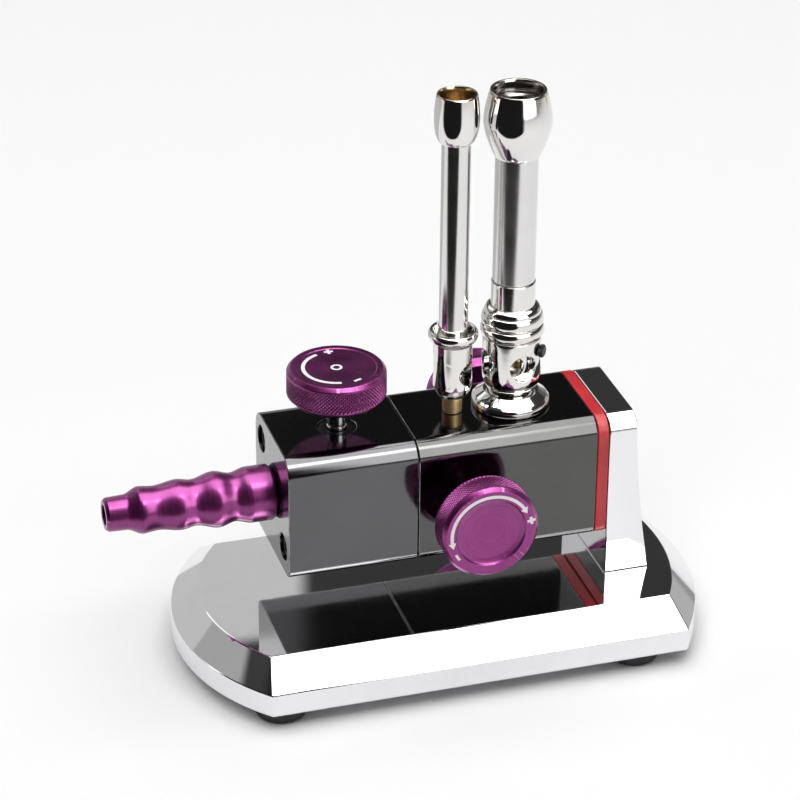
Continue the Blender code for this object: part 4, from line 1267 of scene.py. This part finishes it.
def standing(azimuth, distance, z0, z1):
    spot = polar_spot(azimuth, distance, (z0 + z1) / 2, TUBES)
    return facing(spot, (TUBES[0], TUBES[1], (z0 + z1) / 2))


card("card_overhead", facing((0.16, -0.08, 0.80), (0.16, -0.079, 0.0)), (0.94, 0.96), 3.9, (0.06, 0.06))
card("card_edge", facing((0.12, -0.42, 0.78), (0.12, -0.419, 0.0)), (0.44, 0.40), 10.0, (0.32, 0.15))
card("card_front_right", standing(21, 0.55, 0.10, 0.78), (0.56, 0.68), 3.9, (0.06, 0.10))
card("card_left_strip", standing(-108, 0.50, 0.06, 0.24), (0.15, 0.18), 1.6, (0.15, 0.08))
card("card_behind_low", facing((-0.291, 0.15, 0.060), (-0.291, 0.0, 0.060)), (0.618, 0.140), 0.60, (0.012, 0.04))
card("card_behind_left", facing((-0.50, 0.42, 0.47), (-0.05, 0.0, 0.02)), (0.55, 0.42), 0.42, (0.15, 0.15))
card("card_right", standing(112, 0.60, 0.02, 0.30), (0.30, 0.28), 0.5, (0.12, 0.12))
card("card_back", standing(196, 0.75, 0.42, 0.95), (0.60, 0.50), 1.2, (0.15, 0.15))
card("flag_front_left", standing(-43, 0.15, -0.012, 0.32), (0.36, 0.332), 0.012, (0.14, 0.07), 0.20)

world = bpy.data.worlds.new("studio")
scene.world = world
world.use_nodes = True
wt = world.node_tree
wt.nodes.clear()
w_out = wt.nodes.new("ShaderNodeOutputWorld")
w_bg = wt.nodes.new("ShaderNodeBackground")
wt.links.new(w_bg.outputs[0], w_out.inputs[0])
w_co = wt.nodes.new("ShaderNodeTexCoord")
w_sep = wt.nodes.new("ShaderNodeSeparateXYZ")
wt.links.new(w_co.outputs["Generated"], w_sep.inputs[0])
w_ramp = wt.nodes.new("ShaderNodeValToRGB")
stops = w_ramp.color_ramp.elements
stops[0].position, stops[0].color = 0.0, (0.34, 0.34, 0.345, 1)
stops[1].position, stops[1].color = 1.0, (0.06, 0.06, 0.06, 1)
for at, v in ((0.16, 0.20), (0.34, 0.045), (0.55, 0.040)):
    e = stops.new(at)
    e.color = (v, v, v, 1)
wt.links.new(w_sep.outputs[2], w_ramp.inputs[0])
wt.links.new(w_ramp.outputs[0], w_bg.inputs[0])
w_bg.inputs[1].default_value = 1.0

# ------------------------------------------------------------------ camera
cam_data = bpy.data.cameras.new("camera")
cam = bpy.data.objects.new("camera", cam_data)
scene.collection.objects.link(cam)
scene.camera = cam
cam_data.sensor_width = 36.0
cam_data.lens = 3159 / 800 * 36.0
az, el, roll = math.radians(-17.2), math.radians(28.2), math.radians(0.5)
back = Vector((math.sin(az) * math.cos(el), -math.cos(az) * math.cos(el), math.sin(el)))
right = Vector((math.cos(az), math.sin(az), 0))
up = back.cross(right)
R = right * math.cos(roll) + up * math.sin(roll)
U = up * math.cos(roll) - right * math.sin(roll)
rot = Matrix((R, U, back)).transposed().to_4x4()
cam.matrix_world = Matrix.Translation(Vector((-0.0002, 0.0022, 0.0657)) + back * 0.790) @ rot
cam_data.clip_start, cam_data.clip_end = 0.01, 20

scene.view_settings.view_transform = "Standard"
scene.view_settings.look = "None"
